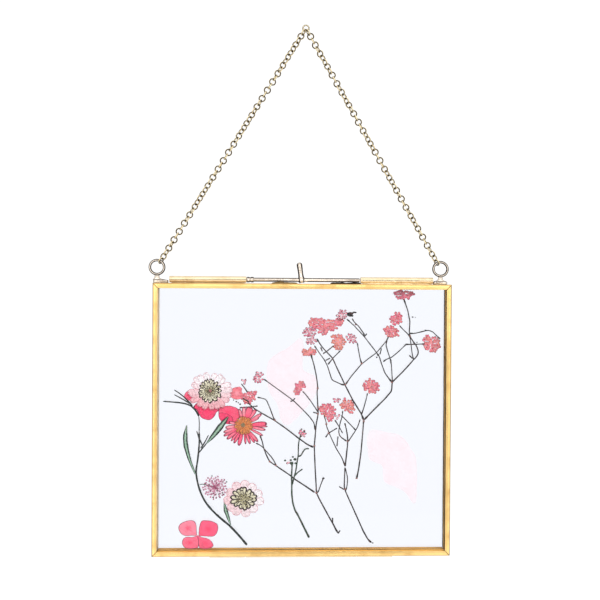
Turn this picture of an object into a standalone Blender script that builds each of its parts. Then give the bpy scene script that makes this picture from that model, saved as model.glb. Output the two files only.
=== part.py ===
"""A hanging pressed-flower frame, in metres, +Z up, the front facing -Y.

Two panes of glass, each edged with brass channel, close like a book on a hinge at the
bottom and are held shut by a sliding bolt along the top. Dried flowers lie between the
panes. A fine link chain runs from two soldered rings up to one link that hangs on a nail.
The origin is where the nail bears, at the inner top of that link.

Sizes are in millimetres. The frame's own measures are taken from its front face (y), its
bottom edge (z) and its middle (x); in_world() turns them into scene coordinates.
"""
import math

import bmesh
import bpy
from mathutils import Matrix, Vector

MM = 0.001

# Driving dimensions, in millimetres.
FRAME_W = 150.0
FRAME_H = 137.0
HALF_DEPTH = 3.4          # one pane with its channel
HALVES_GAP = 1.2          # between the closed halves
CHANNEL_FACE = 2.6        # how far a channel's flange reaches over the glass
CHANNEL_WALL = 0.4
BEND_R = 0.8              # outer radius where the channel is folded
GLASS_T = 2.0
FIT = 0.3                 # gap between pieces that touch

TUBE_R = 1.6
TUBE_BORE_R = 1.3
ROD_R = 1.0
GUIDE_SPAN = (-67.0, -28.5)
KEEPER_SPAN = (29.2, 66.0)
ROD_SPAN = (-64.5, 28.8)
COLLAR_R = 1.4
COLLAR_NECK_R = 1.15
HANDLE_X = -0.7
HANDLE_FOOT_R = 1.6
HANDLE_TIP_R = 1.3
HANDLE_H = 8.9            # above the rod's axis
HANDLE_LEAN = math.radians(8.0)

RING_R = 3.55             # to the middle of the wire
RING_WIRE_R = 0.65
RING_X = (-73.4, 70.0)    # soldered on by hand, so not quite even
RING_H = 7.9              # ring's middle above the top of the channel
RING_PLANE_Y = 4.6
FOOT_W = 7.2
FOOT_D = 3.0

HINGE_Z = -0.63
HINGE_TUBE_R = 0.9
HINGE_BORE_R = 0.6
HINGE_WIRE_R = 0.38
HINGE_FRONT_HALF_L = 28.0
HINGE_BACK_L = 18.0
HINGE_WIRE_OVER = 1.2

LINK_R = 1.45             # chain link, to the middle of its wire
LINK_WIRE_R = 0.40
TOP_LINK_R = 1.55
TOP_LINK_WIRE_R = 0.34
TOP_LINK_STEP = 2.30      # from the top link's middle to the first link's
RING_LINK_STEP = 0.27     # last link's middle short of the ring's wire
# A run's number of links, how far its first link is off square, and how much more than a
# quarter turn each link makes on the one before.
LEFT_RUN = {"links": 56, "start": math.radians(12), "twist": math.radians(5.2)}
RIGHT_RUN = {"links": 55, "start": math.radians(-6), "twist": math.radians(9.6)}
NAIL_DROP = 130.0         # from the nail down to the top of the channel
FRAME_X = -0.8            # the frame's middle hangs a little left of the nail

# The layers that the flowers are pressed in, as depths behind the front face.
LAYER = {"veil": 5.05, "low": 4.60, "mid": 4.05, "high": 3.45}
STEM_T = 0.30
PETAL_T = 0.24
FLORET_T = 0.36
VEIL_T = 0.14
EYE_T = 0.70

# Worked out from the dimensions above.
DEPTH = 2 * HALF_DEPTH + HALVES_GAP
MID_Y = DEPTH / 2
BACK_Y = HALF_DEPTH + HALVES_GAP
TUBE_Z = FRAME_H + FIT + TUBE_R
RING_Z = FRAME_H + RING_H
TOP_LINK_Z = -(TOP_LINK_R - TOP_LINK_WIRE_R)
BLOOM_FLOOR = CHANNEL_FACE + FIT              # blooms that reach behind a channel end here
BLOOM_CEILING = FRAME_H - CHANNEL_FACE - FIT


def in_world(x, y, z):
    """Scene position, in metres, of a point given in the frame's own millimetres."""
    return Vector((x + FRAME_X, y - RING_PLANE_Y, z - FRAME_H - NAIL_DROP)) * MM


def remove_everything():
    """Empties the scene, so that the script can be run again."""
    for thing in list(bpy.data.objects):
        bpy.data.objects.remove(thing, do_unlink=True)


def finish(name, colour, roughness, metallic=0.0, alpha=1.0, transmission=0.0):
    """A plain Principled material in linear colour."""
    mat = bpy.data.materials.new(name)
    mat.use_nodes = True
    shader = mat.node_tree.nodes["Principled BSDF"]
    shader.inputs["Base Color"].default_value = (*colour, 1.0)
    shader.inputs["Roughness"].default_value = roughness
    shader.inputs["Metallic"].default_value = metallic
    shader.inputs["Alpha"].default_value = alpha
    shader.inputs["Transmission Weight"].default_value = transmission
    return mat


def make_finishes():
    """Every finish that the pieces use, by a short name."""
    return {
        "brass": finish("polished brass", (0.83, 0.60, 0.27), 0.25, 1.0),
        "solder": finish("soldered brass", (0.72, 0.60, 0.42), 0.35, 1.0),
        "chain": finish("gold plated chain", (0.80, 0.62, 0.32), 0.28, 1.0),
        "glass": finish("clear glass", (0.95, 0.96, 1.0), 0.02, 0.0, 0.25, 0.9),
        "stalk": finish("dried dark stalk", (0.05, 0.04, 0.03), 0.8),
        "green": finish("dried green stalk", (0.16, 0.20, 0.06), 0.8),
        "blush": finish("dried blush floret", (0.78, 0.22, 0.26), 0.7),
        "magenta": finish("dried magenta petal", (0.62, 0.05, 0.22), 0.7),
        "coral": finish("dried coral petal", (0.80, 0.12, 0.20), 0.7),
        "pale": finish("dried pale pink ray", (0.85, 0.52, 0.55), 0.7),
        "veil": finish("dried veil petal", (0.95, 0.85, 0.88), 0.7),
        "eye": finish("dried flower eye", (0.24, 0.20, 0.07), 0.8),
        "amber": finish("dried amber eye", (0.70, 0.28, 0.04), 0.8),
        "mauve": finish("dried mauve umbel", (0.50, 0.20, 0.32), 0.7),
    }


def empty(name, location, parent=None):
    """An unseen marker on a joint's axis."""
    marker = bpy.data.objects.new(name, None)
    bpy.context.scene.collection.objects.link(marker)
    marker.parent = parent
    marker.location = location - (parent.matrix_world.translation if parent else Vector())
    bpy.context.view_layer.update()
    return marker


def to_object(name, bm, mats, parent=None, location=None, turn=None, smooth=None):
    """Puts a bmesh, in millimetres, into a named object at a scene position in metres.

    mats is one material, or two where a stalk's faces use the first and its blooms the second.
    """
    bmesh.ops.recalc_face_normals(bm, faces=bm.faces)
    bmesh.ops.scale(bm, vec=(MM, MM, MM), verts=bm.verts)
    mesh = bpy.data.meshes.new(name)
    bm.to_mesh(mesh)
    bm.free()
    for mat in mats if isinstance(mats, tuple) else (mats,):
        mesh.materials.append(mat)
    if smooth:
        mesh.shade_smooth()
        mesh.set_sharp_from_angle(angle=math.radians(smooth))
    obj = bpy.data.objects.new(name, mesh)
    bpy.context.scene.collection.objects.link(obj)
    obj.parent = parent
    place = location if location is not None else Vector()
    obj.location = place - (parent.matrix_world.translation if parent else Vector())
    if turn is not None:
        obj.rotation_euler = turn
    return obj


def loft(bm, rings, closed=False):
    """Skins rings of points with quads: capped at both ends, or joined round if closed."""
    loops = [[bm.verts.new(point) for point in ring] for ring in rings]
    count = len(loops[0])
    pairs = list(zip(loops, loops[1:]))
    if closed:
        pairs.append((loops[-1], loops[0]))
    for low, high in pairs:
        for i in range(count):
            j = (i + 1) % count
            bm.faces.new((low[i], low[j], high[j], high[i]))
    if not closed:
        bm.faces.new(list(reversed(loops[0])))
        bm.faces.new(loops[-1])


def turned(bm, profile, sides, axis="X"):
    """A solid turned about an axis from (along, radius) points."""
    rings = []
    for along, radius in profile:
        ring = []
        for i in range(sides):
            a = 2 * math.pi * i / sides
            u, v = radius * math.cos(a), radius * math.sin(a)
            ring.append(Vector((along, u, v)) if axis == "X" else Vector((u, v, along)))
        rings.append(ring)
    loft(bm, rings)


def tube(bm, start, end, outer, bore, sides):
    """A pipe along X: out along the outer wall and back along the bore."""
    profile = [(start, outer), (end, outer), (end, bore), (start, bore)]
    rings = []
    for along, radius in profile:
        angles = [2 * math.pi * i / sides for i in range(sides)]
        rings.append([Vector((along, radius * math.cos(a), radius * math.sin(a))) for a in angles])
    loft(bm, rings, closed=True)


def ring_solid(bm, radius, wire, around, across):
    """A closed wire ring in the XZ plane."""
    rings = []
    for i in range(around):
        a = 2 * math.pi * i / around
        out = Vector((math.cos(a), 0, math.sin(a)))
        turns = [2 * math.pi * j / across for j in range(across)]
        rings.append([out * (radius + wire * math.cos(b)) + Vector((0, wire * math.sin(b), 0)) for b in turns])
    loft(bm, rings, closed=True)


# ---- The two glazed halves ----

def channel(length):
    """A folded channel along X, open towards +Z, its ends cut at 45 degrees.

    The section is walked from the front flange's lip round the folds to the back lip
    and home along the inside; each point is pulled in along X by its height.
    """
    bm = bmesh.new()
    section = [(0.0, CHANNEL_FACE)]
    for centre_y, first in ((BEND_R, math.pi), (HALF_DEPTH - BEND_R, 1.5 * math.pi)):
        for step in range(3):
            a = first + step * math.pi / 4
            section.append((centre_y + BEND_R * math.cos(a), BEND_R + BEND_R * math.sin(a)))
    section.append((HALF_DEPTH, CHANNEL_FACE))
    section.append((HALF_DEPTH - CHANNEL_WALL, CHANNEL_FACE))
    section.append((HALF_DEPTH - CHANNEL_WALL, CHANNEL_WALL))
    section.append((CHANNEL_WALL, CHANNEL_WALL))
    section.append((CHANNEL_WALL, CHANNEL_FACE))
    mitre = FIT * 0.72
    ends = []
    for side in (-1, 1):
        ends.append([Vector((side * (length / 2 - mitre - z), y, z)) for y, z in section])
    loft(bm, ends)
    return bm


def glazed_half(prefix, front_y, parent, mats):
    """Four mitred channels round one pane."""
    half_w, half_h = FRAME_W / 2, FRAME_H / 2
    sides = {
        "bottom": (FRAME_W, (0, 0), 0.0),
        "left": (FRAME_H, (-half_w, half_h), math.pi / 2),
        "top": (FRAME_W, (0, FRAME_H), math.pi),
        "right": (FRAME_H, (half_w, half_h), -math.pi / 2),
    }
    for side, (length, (x, z), turn) in sides.items():
        to_object(f"{prefix}_channel_{side}", channel(length), mats["brass"], parent,
                  in_world(x, front_y, z), (0, turn, 0), smooth=40)
    inset = CHANNEL_WALL + FIT
    bm = bmesh.new()
    bmesh.ops.create_cube(bm, size=1.0)
    size = (FRAME_W - 2 * inset, GLASS_T, FRAME_H - 2 * inset)
    bmesh.ops.scale(bm, vec=size, verts=bm.verts)
    to_object(f"{prefix}_pane", bm, mats["glass"], parent,
              in_world(0, front_y + HALF_DEPTH / 2, half_h))


# ---- Bolt, rings, hinge ----

def bolt_tubes(back, front, mats):
    """The guide tube on the back half and the keeper tube on the front half."""
    for name, span, parent in (("guide_tube", GUIDE_SPAN, back), ("keeper_tube", KEEPER_SPAN, front)):
        bm = bmesh.new()
        tube(bm, span[0], span[1], TUBE_R, TUBE_BORE_R, 12)
        to_object(name, bm, mats["brass"], parent, in_world(0, MID_Y, TUBE_Z), smooth=40)


def bolt(parent, mats):
    """A drawn bolt: a rod with a grooved stop collar and an upright finger pin, soldered as one."""
    collar = GUIDE_SPAN[1] + FIT
    profile = [(ROD_SPAN[0], ROD_R), (collar, ROD_R)]
    for start in (0.0, 2.0):
        profile += [(collar + start, COLLAR_R), (collar + start + 1.4, COLLAR_R)]
        if start == 0.0:
            profile += [(collar + 1.4, COLLAR_NECK_R), (collar + 2.0, COLLAR_NECK_R)]
    profile += [(collar + 3.4, ROD_R), (ROD_SPAN[1] - 0.3, ROD_R), (ROD_SPAN[1], ROD_R * 0.75)]
    bm = bmesh.new()
    turned(bm, profile, 8)
    rod = to_object("bolt", bm, mats["solder"], parent, in_world(0, MID_Y, TUBE_Z), smooth=40)

    pin = bmesh.new()
    foot = -ROD_R - 0.35
    shape = [(foot, HANDLE_FOOT_R * 0.85), (foot + 0.3, HANDLE_FOOT_R), (HANDLE_H - 1.2, HANDLE_TIP_R)]
    shape += [(HANDLE_H - 0.4, HANDLE_TIP_R * 0.8), (HANDLE_H, HANDLE_TIP_R * 0.35)]
    turned(pin, shape, 8, axis="Z")
    bmesh.ops.rotate(pin, cent=(0, 0, 0), matrix=Matrix.Rotation(-HANDLE_LEAN, 3, "Y"), verts=pin.verts)
    handle = to_object("bolt_pin_guide", pin, mats["solder"], parent,
                       in_world(HANDLE_X, MID_Y, TUBE_Z), smooth=40)
    unite(rod, handle)


def unite(body, other, tangled=False):
    """Joins a hidden shape to a body. tangled is for a shape whose own parts cross."""
    other.hide_render = True
    other.display_type = "WIRE"
    join = body.modifiers.new("join", "BOOLEAN")
    join.operation = "UNION"
    join.object = other
    join.use_self = tangled


def ring_and_foot(side, x, parent, mats):
    """A soldered wire ring standing on a small flared foot."""
    bm = bmesh.new()
    ring_solid(bm, RING_R, RING_WIRE_R, 14, 5)
    to_object(f"ring_{side}", bm, mats["solder"], parent, in_world(x, RING_PLANE_Y, RING_Z), smooth=50)

    half = FOOT_W / 2
    top = RING_H - RING_R - RING_WIRE_R - FIT
    outline = [(-half, FIT), (half, FIT), (half, 1.5), (half * 0.55, 1.9), (half * 0.33, 2.5)]
    outline += [(half * 0.26, top), (-half * 0.26, top), (-half * 0.33, 2.5), (-half * 0.55, 1.9)]
    outline.append((-half, 1.5))
    centre = max(-FRAME_W / 2 + half, min(FRAME_W / 2 - half, x))
    slide = x - centre
    bm = bmesh.new()
    faces = []
    for y in (-FOOT_D / 2, FOOT_D / 2):
        faces.append([Vector((u + (slide if z > 1.6 else 0.0), y, z)) for u, z in outline])
    loft(bm, faces)
    to_object(f"ring_foot_{side}", bm, mats["solder"], parent,
              in_world(centre, RING_PLANE_Y + FOOT_D * 0.3, FRAME_H), smooth=40)


def hinge(back, front, mats):
    """Three knuckles on one wire, tucked in the groove under the two halves."""
    knuckles = {
        "hinge_knuckle_front": (-HINGE_FRONT_HALF_L, HINGE_FRONT_HALF_L, front),
        "hinge_knuckle_left": (-HINGE_FRONT_HALF_L - FIT - HINGE_BACK_L, -HINGE_FRONT_HALF_L - FIT, back),
        "hinge_knuckle_right": (HINGE_FRONT_HALF_L + FIT, HINGE_FRONT_HALF_L + FIT + HINGE_BACK_L, back),
    }
    for name, (start, end, parent) in knuckles.items():
        bm = bmesh.new()
        tube(bm, start, end, HINGE_TUBE_R, HINGE_BORE_R, 8)
        to_object(name, bm, mats["brass"], parent, in_world(0, MID_Y, HINGE_Z), smooth=40)
    reach = HINGE_FRONT_HALF_L + FIT + HINGE_BACK_L + HINGE_WIRE_OVER
    bm = bmesh.new()
    turned(bm, [(-reach, HINGE_WIRE_R), (reach, HINGE_WIRE_R)], 8)
    to_object("hinge_wire", bm, mats["brass"], back, in_world(0, MID_Y, HINGE_Z), smooth=40)


# ---- Chain ----

def link_matrix(centre, along, roll):
    """Turns a link made in the XZ plane so that its X runs along the chain."""
    x = along.normalized()
    face = Vector((0, 1, 0))
    z = x.cross(face).normalized()
    turn = Matrix((x, face, z)).transposed()
    return Matrix.Translation(centre) @ (turn @ Matrix.Rotation(roll, 3, "X")).to_4x4()


def chain_link(bm, matrix):
    """A six-sided link of three-sided wire, open on the inner flat at each end of its X.

    Returns the corners round the opening at its near end and at its far end.
    """
    stretch = 1 / math.cos(math.pi / 6)
    wire = []
    for i in range(6):
        a = math.pi / 6 + i * math.pi / 3
        out = Vector((math.cos(a), 0, math.sin(a)))
        middle = Vector((math.cos(a) * stretch, 0, math.sin(a))) * LINK_R
        section = []
        for j in range(3):
            b = 2 * math.pi * j / 3
            point = middle + (out * math.cos(b) + Vector((0, math.sin(b), 0))) * LINK_WIRE_R
            section.append(bm.verts.new(matrix @ point))
        wire.append(section)
    for i in range(6):
        here, there = wire[i], wire[(i + 1) % 6]
        for j in range(3):
            inner_flat = j == 1 and i in (2, 5)
            if not inner_flat:
                bm.faces.new((here[j], here[(j + 1) % 3], there[(j + 1) % 3], there[j]))
    near = (wire[2][1], wire[2][2], wire[3][2], wire[3][1])
    far = (wire[5][1], wire[5][2], wire[0][2], wire[0][1])
    return near, far


def solder_links(bm, far, near):
    """Joins one link's far opening to the next one's near opening, corner to closest corner."""
    pairings = [[near[(start + step * i) % 4] for i in range(4)] for start in range(4) for step in (-1, 1)]
    match = min(pairings, key=lambda pairing: sum((a.co - b.co).length for a, b in zip(far, pairing)))
    for i in range(4):
        j = (i + 1) % 4
        bm.faces.new((far[i], far[j], match[j], match[i]))


def chain_run(side, ring_x, run, mats):
    """One run of round links from the top link to a ring, joined where each bears on the next.

    Each link turns a quarter and a little more on the one before it, so the run twists slowly.
    """
    top = Vector((0, 0, TOP_LINK_Z))
    ring = in_world(ring_x, RING_PLANE_Y, RING_Z) / MM
    along = (ring - top).normalized()
    last = (ring - top).length - RING_R - RING_LINK_STEP
    pitch = (last - TOP_LINK_STEP) / (run["links"] - 1)
    bm = bmesh.new()
    opening = None
    for k in range(run["links"]):
        centre = top + along * (TOP_LINK_STEP + pitch * k)
        roll = math.pi / 2 + run["start"] + k * (math.pi / 2 + run["twist"])
        near, far = chain_link(bm, link_matrix(centre, along, roll))
        if opening:
            solder_links(bm, opening, near)
        else:
            bm.faces.new(near)
        opening = far
    bm.faces.new(opening)
    to_object(f"chain_{side}", bm, mats["chain"])


def chain(mats):
    """The link on the nail and the two runs."""
    bm = bmesh.new()
    ring_solid(bm, TOP_LINK_R, TOP_LINK_WIRE_R, 12, 4)
    to_object("chain_top_link", bm, mats["chain"], None, Vector((0, 0, TOP_LINK_Z)) * MM, smooth=60)
    chain_run("left", RING_X[0], LEFT_RUN, mats)
    chain_run("right", RING_X[1], RIGHT_RUN, mats)


# ---- Pressed flowers: flat pieces in the XZ plane, at a layer's depth ----

def blade(bm, points, widths, thick, slot=0):
    """A flat strip along a path of (x, z) points, lens-shaped across, with a width at each."""
    path = [Vector((x, 0, z)) for x, z in points]
    count = len(path)
    depth = Vector((0, thick / 2, 0))
    known = len(bm.faces)
    rings = []
    for i, point in enumerate(path):
        along = (path[min(i + 1, count - 1)] - path[max(i - 1, 0)]).normalized()
        reach = Vector((along.z, 0, -along.x)) * widths[i] / 2
        rings.append([point - reach, point - depth, point + reach, point + depth])
    loft(bm, rings)
    bm.faces.ensure_lookup_table()
    for face in bm.faces[known:]:
        face.material_index = slot


def tapered(count, wide, narrow):
    """A width for each of a path's points, from wide to narrow."""
    return [wide + (narrow - wide) * i / (count - 1) for i in range(count)]


def lobed(bm, centre, size, lobes, depth, thick, turn=0.0, per_lobe=4, sharp=2, slot=0):
    """A flat bloom, thickest in its middle, whose rim dips once for each lobe.

    depth is the dip's share of the radius, and a higher sharp makes it a narrower notch.
    """
    count = lobes * per_lobe
    cx, cz = centre
    edge = []
    for i in range(count):
        a = 2 * math.pi * i / count
        swell = 1 - depth * (0.5 + 0.5 * math.cos(lobes * a)) ** sharp
        x = cx + size[0] / 2 * swell * math.cos(a + turn)
        z = cz + size[1] / 2 * swell * math.sin(a + turn)
        edge.append(bm.verts.new((x, 0, max(BLOOM_FLOOR, min(z, BLOOM_CEILING)))))
    front = bm.verts.new((cx, -thick / 2, cz))
    back = bm.verts.new((cx, thick / 2, cz))
    for i in range(count):
        j = (i + 1) % count
        for face in (bm.faces.new((edge[i], edge[j], front)), bm.faces.new((edge[j], edge[i], back))):
            face.material_index = slot


def pressed(name, body, extra, layer, mats, parent):
    """Places a plant's first shape at its layer and joins the shapes that grow from it."""
    place = in_world(0, LAYER[layer], 0)
    plant = to_object(name, body, mats, parent, place)
    unite(plant, to_object(name + "_guide", extra, mats, parent, place), tangled=True)


def spray(name, trunk, twigs, blooms, layer, mats, parent, width=0.55):
    """A stalk with its twigs and the blooms that grow on them, joined into one solid.

    The trunk and each twig are (x, z) points; a bloom is (centre, size, lobes).
    """
    body = bmesh.new()
    blade(body, trunk, tapered(len(trunk), width * 1.25, width * 0.75), STEM_T)
    if not twigs:
        to_object(name, body, mats, parent, in_world(0, LAYER[layer], 0))
        return
    extra = bmesh.new()
    for number, twig in enumerate(twigs):
        blade(extra, twig, tapered(len(twig), width * 0.95, width * 0.6), STEM_T * (0.86 - 0.012 * number))
    for number, (centre, size, lobes) in enumerate(blooms):
        lobed(extra, centre, size, lobes, 0.22, FLORET_T, turn=0.4 + 0.7 * number, per_lobe=2, slot=1)
    pressed(name, body, extra, layer, mats, parent)


def daisy(name, centre, size, rays, eye, mats, parent):
    """A flower head pressed flat: rays that thicken to the foot of the coned eye."""
    bm = bmesh.new()
    cx, cz = centre
    count = rays * 3
    edge, foot = [], []
    for i in range(count):
        a = 2 * math.pi * i / count
        swell = 1.0 if i % 3 else 0.78
        edge.append(bm.verts.new((cx + size[0] / 2 * swell * math.cos(a), 0,
                                  cz + size[1] / 2 * swell * math.sin(a))))
        foot.append(bm.verts.new((cx + eye / 2 * math.cos(a), -PETAL_T / 2, cz + eye * 0.47 * math.sin(a))))
    front = bm.verts.new((cx, -EYE_T / 2, cz))
    back = bm.verts.new((cx, PETAL_T / 2, cz))
    for i in range(count):
        j = (i + 1) % count
        bm.faces.new((edge[i], edge[j], foot[j], foot[i]))
        bm.faces.new((edge[j], edge[i], back))
        bm.faces.new((foot[i], foot[j], front)).material_index = 1
    to_object(name, bm, mats, parent, in_world(0, LAYER["high"], 0))


def bloom(name, centre, size, lobes, depth, sharp, layer, mat, parent, per_lobe=4):
    """A flower of its own, with one broad or narrow lobe for each petal."""
    bm = bmesh.new()
    lobed(bm, centre, size, lobes, depth, FLORET_T, per_lobe=per_lobe, sharp=sharp)
    to_object(name, bm, mat, parent, in_world(0, LAYER[layer], 0))


def loose_petal(name, base, tip, width, layer, mat, parent):
    """A broad petal from its base to its tip, fullest at two thirds of its length."""
    start, end = Vector((base[0], 0, base[1])), Vector((tip[0], 0, tip[1]))
    shares = [0.0, 0.2, 0.45, 0.68, 0.88, 1.0]
    fulls = [0.16, 0.62, 0.92, 1.0, 0.76, 0.24]
    bm = bmesh.new()
    blade(bm, [tuple(start.lerp(end, share).xz) for share in shares], [width * full for full in fulls],
          PETAL_T)
    to_object(name, bm, mat, parent, in_world(0, LAYER[layer], 0), smooth=60)


def veil(name, outline, mat, parent):
    """A large, nearly colourless petal: a thin sheet within an outline of (x, z) points."""
    bm = bmesh.new()
    loft(bm, [[Vector((x, y, z)) for x, z in outline] for y in (-VEIL_T / 2, VEIL_T / 2)])
    to_object(name, bm, mat, parent, in_world(0, LAYER["veil"], 0))


def flower_heads(parent, mats):
    """The daisies, the loose petals, the single florets and the two veil petals."""
    pale, bright = (mats["pale"], mats["eye"]), (mats["magenta"], mats["amber"])
    daisy("daisy_upper", (-46.4, 82.6), (21.6, 20.0), 17, 12.6, pale, parent)
    daisy("daisy_middle", (-29.3, 65.2), (22.2, 19.6), 16, 8.6, bright, parent)
    daisy("daisy_lower", (-29.0, 28.5), (20.6, 19.0), 18, 12.2, pale, parent)
    loose_petal("magenta_petal_left", (-51.0, 79.0), (-59.4, 81.4), 6.4, "low", mats["magenta"], parent)
    loose_petal("magenta_petal_bottom", (-46.6, 79.0), (-48.0, 68.0), 9.2, "low", mats["magenta"], parent)
    loose_petal("magenta_petal_right", (-41.6, 76.6), (-31.4, 69.6), 10.0, "low", mats["magenta"], parent)
    bloom("coral_floret", (-52.1, 9.4), (22.6, 18.4), 4, 0.8, 4, "mid", mats["coral"], parent, per_lobe=8)
    bloom("lace_umbel", (-44.0, 34.0), (14.0, 12.0), 11, 0.6, 2, "low", mats["mauve"], parent)
    veil("veil_petal_left",
         [(-7.5, 104.5), (-0.5, 109.5), (0.5, 102.5), (0.5, 93.5), (7.0, 89.5), (6.5, 80.5), (0.0, 72.0),
          (-6.0, 66.0), (-10.5, 67.5), (-12.5, 76.0), (-16.5, 82.0), (-18.0, 93.5), (-15.0, 100.0)],
         mats["veil"], parent)
    veil("veil_petal_right",
         [(34.0, 62.0), (42.5, 62.0), (51.0, 59.5), (56.0, 52.5), (58.5, 46.5), (58.5, 29.0), (57.0, 25.5),
          (52.5, 31.5), (47.5, 34.0), (42.0, 37.0), (41.0, 44.5), (37.5, 46.5), (34.0, 49.5)],
         mats["veil"], parent)


def leafy_stalk(parent, mats):
    """The long green stalk of the left side, with three leaves and its forked, strawy top."""
    body = bmesh.new()
    trunk = [(-27.5, 5.0), (-36.5, 16.5), (-45.0, 25.0), (-50.5, 34.0), (-52.9, 41.7), (-52.1, 51.8),
             (-51.6, 59.7), (-52.1, 69.4), (-53.6, 72.6), (-56.3, 75.6), (-62.6, 77.2), (-72.0, 77.5)]
    blade(body, trunk, tapered(len(trunk), 0.95, 0.5), STEM_T)
    extra = bmesh.new()
    twigs = [
        [(-56.0, 75.4), (-60.3, 80.9), (-64.5, 83.6)],
        [(-57.0, 76.0), (-60.3, 78.6), (-64.2, 81.0)],
        [(-51.9, 54.6), (-51.7, 58.4), (-52.9, 62.2)],
        [(-52.1, 52.0), (-49.0, 55.5), (-47.1, 60.2)],
    ]
    for number, twig in enumerate(twigs):
        blade(extra, twig, tapered(len(twig), 0.55, 0.35), STEM_T * (0.86 - 0.04 * number))
    leaves = [
        ([(-52.7, 40.0), (-55.4, 45.5), (-57.1, 49.7), (-59.0, 55.5), (-59.3, 60.5), (-58.1, 65.4)],
         [0.5, 0.9, 1.9, 2.8, 2.7, 0.6]),
        ([(-52.1, 51.2), (-47.7, 56.2), (-44.6, 59.9), (-41.5, 63.8), (-39.0, 67.0), (-37.2, 69.4)],
         [0.5, 1.0, 2.4, 3.0, 2.4, 0.6]),
        ([(-35.9, 15.8), (-37.2, 19.5), (-38.3, 23.0), (-38.5, 26.0)], [0.4, 1.5, 1.9, 0.5]),
    ]
    for number, (points, widths) in enumerate(leaves):
        blade(extra, points, widths, STEM_T * (0.80 - 0.03 * number))
    pressed("leafy_stalk", body, extra, "mid", mats["green"], parent)


def left_gypsophila(parent, mats):
    """The spray whose stalk stands right of the middle and reaches over to the daisies."""
    pair = (mats["stalk"], mats["blush"])
    trunk = [(19.0, 10.5), (15.0, 17.0), (7.5, 31.0), (6.5, 55.5), (7.0, 67.5), (8.0, 74.0)]
    trunk += [(8.0, 86.0), (7.0, 93.5), (4.5, 100.5), (3.9, 102.2)]
    twigs = [
        [(7.0, 67.5), (-5.0, 78.0), (-19.5, 89.0)],
        [(-5.0, 78.0), (-3.5, 81.0)],
        [(8.0, 74.0), (1.5, 81.0), (-1.0, 84.0)],
        [(7.5, 31.0), (10.5, 38.0)],
    ]
    blooms = [((3.5, 102.5), (7.5, 4.6), 5), ((-21.3, 89.5), (6.0, 7.0), 5), ((-1.5, 84.5), (6.4, 7.2), 5),
              ((10.7, 38.4), (1.6, 1.8), 4)]
    spray("gypsophila_left_stalk", trunk, twigs, blooms, "low", pair, parent)
    low = [(6.6, 31.6), (-5.5, 39.8), (-13.0, 45.0), (-15.9, 46.7), (-17.8, 50.1), (-19.3, 54.3)]
    low += [(-20.1, 57.2), (-21.4, 60.2)]
    twigs = [[(-13.2, 44.8), (-14.2, 48.0), (-17.6, 52.6), (-19.5, 54.4), (-23.3, 56.5)]]
    spray("gypsophila_left_low_branch", low, twigs, [], "low", pair, parent)
    reach = [(5.8, 55.0), (-2.1, 59.6), (-13.5, 67.8), (-24.0, 74.3), (-28.0, 77.5)]
    twigs = [[(-13.5, 67.8), (-15.8, 73.2), (-18.0, 78.6), (-20.3, 79.5), (-24.0, 79.3)],
             [(-27.6, 81.0), (-29.0, 86.8)], [(-27.0, 79.5), (-32.0, 81.2)]]
    blooms = [((-32.4, 81.6), (7.0, 6.0), 5), ((-26.2, 79.6), (7.8, 7.6), 8), ((-29.0, 87.3), (2.8, 2.6), 4)]
    spray("gypsophila_left_long_branch", reach, twigs, blooms, "mid", pair, parent)


def dark_sprig(parent, mats):
    """The short dark sprig with its small buds."""
    twigs = [[(-5.0, 37.0), (-2.5, 46.0), (-1.5, 58.5), (0.5, 62.0)], [(-4.0, 40.0), (-1.6, 41.6), (1.0, 43.5)],
             [(-2.4, 49.0), (1.5, 54.0), (5.0, 54.4)]]
    blooms = [((-5.6, 47.6), (5.2, 3.2), 5), ((0.6, 62.6), (4.0, 4.6), 4), ((-4.9, 44.6), (2.4, 2.2), 4)]
    spray("dark_sprig", [(4.0, 8.5), (-0.5, 17.0), (-4.5, 27.5), (-5.0, 37.0), (-5.5, 47.0)], twigs, blooms,
          "high", (mats["stalk"], mats["green"]), parent, width=0.65)


def middle_gypsophila(parent, mats):
    """The spray that stands right of it, with two heads at the middle of the pane."""
    pair = (mats["stalk"], mats["blush"])
    spray("gypsophila_middle_stalk", [(35.0, 5.0), (30.0, 17.0), (23.0, 33.0), (22.5, 43.0)],
          [[(23.0, 33.0), (19.0, 35.5)]], [], "low", pair, parent)
    twigs = [
        [(22.5, 44.5), (17.5, 53.5), (12.5, 63.5), (11.8, 69.0)],
        [(23.0, 57.0), (27.5, 63.0), (30.2, 68.0)],
        [(23.0, 57.0), (19.0, 59.5), (19.0, 66.0), (17.0, 70.5)],
        [(14.5, 60.5), (19.5, 66.5), (21.5, 71.0)],
        [(27.5, 63.0), (21.0, 70.5)],
    ]
    blooms = [((13.9, 72.6), (8.8, 9.2), 7), ((22.0, 75.0), (10.8, 7.8), 8)]
    spray("gypsophila_middle_branches", [(22.4, 43.5), (23.0, 57.0), (22.5, 66.0), (22.0, 73.0)], twigs, blooms,
          "low", pair, parent)


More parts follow.
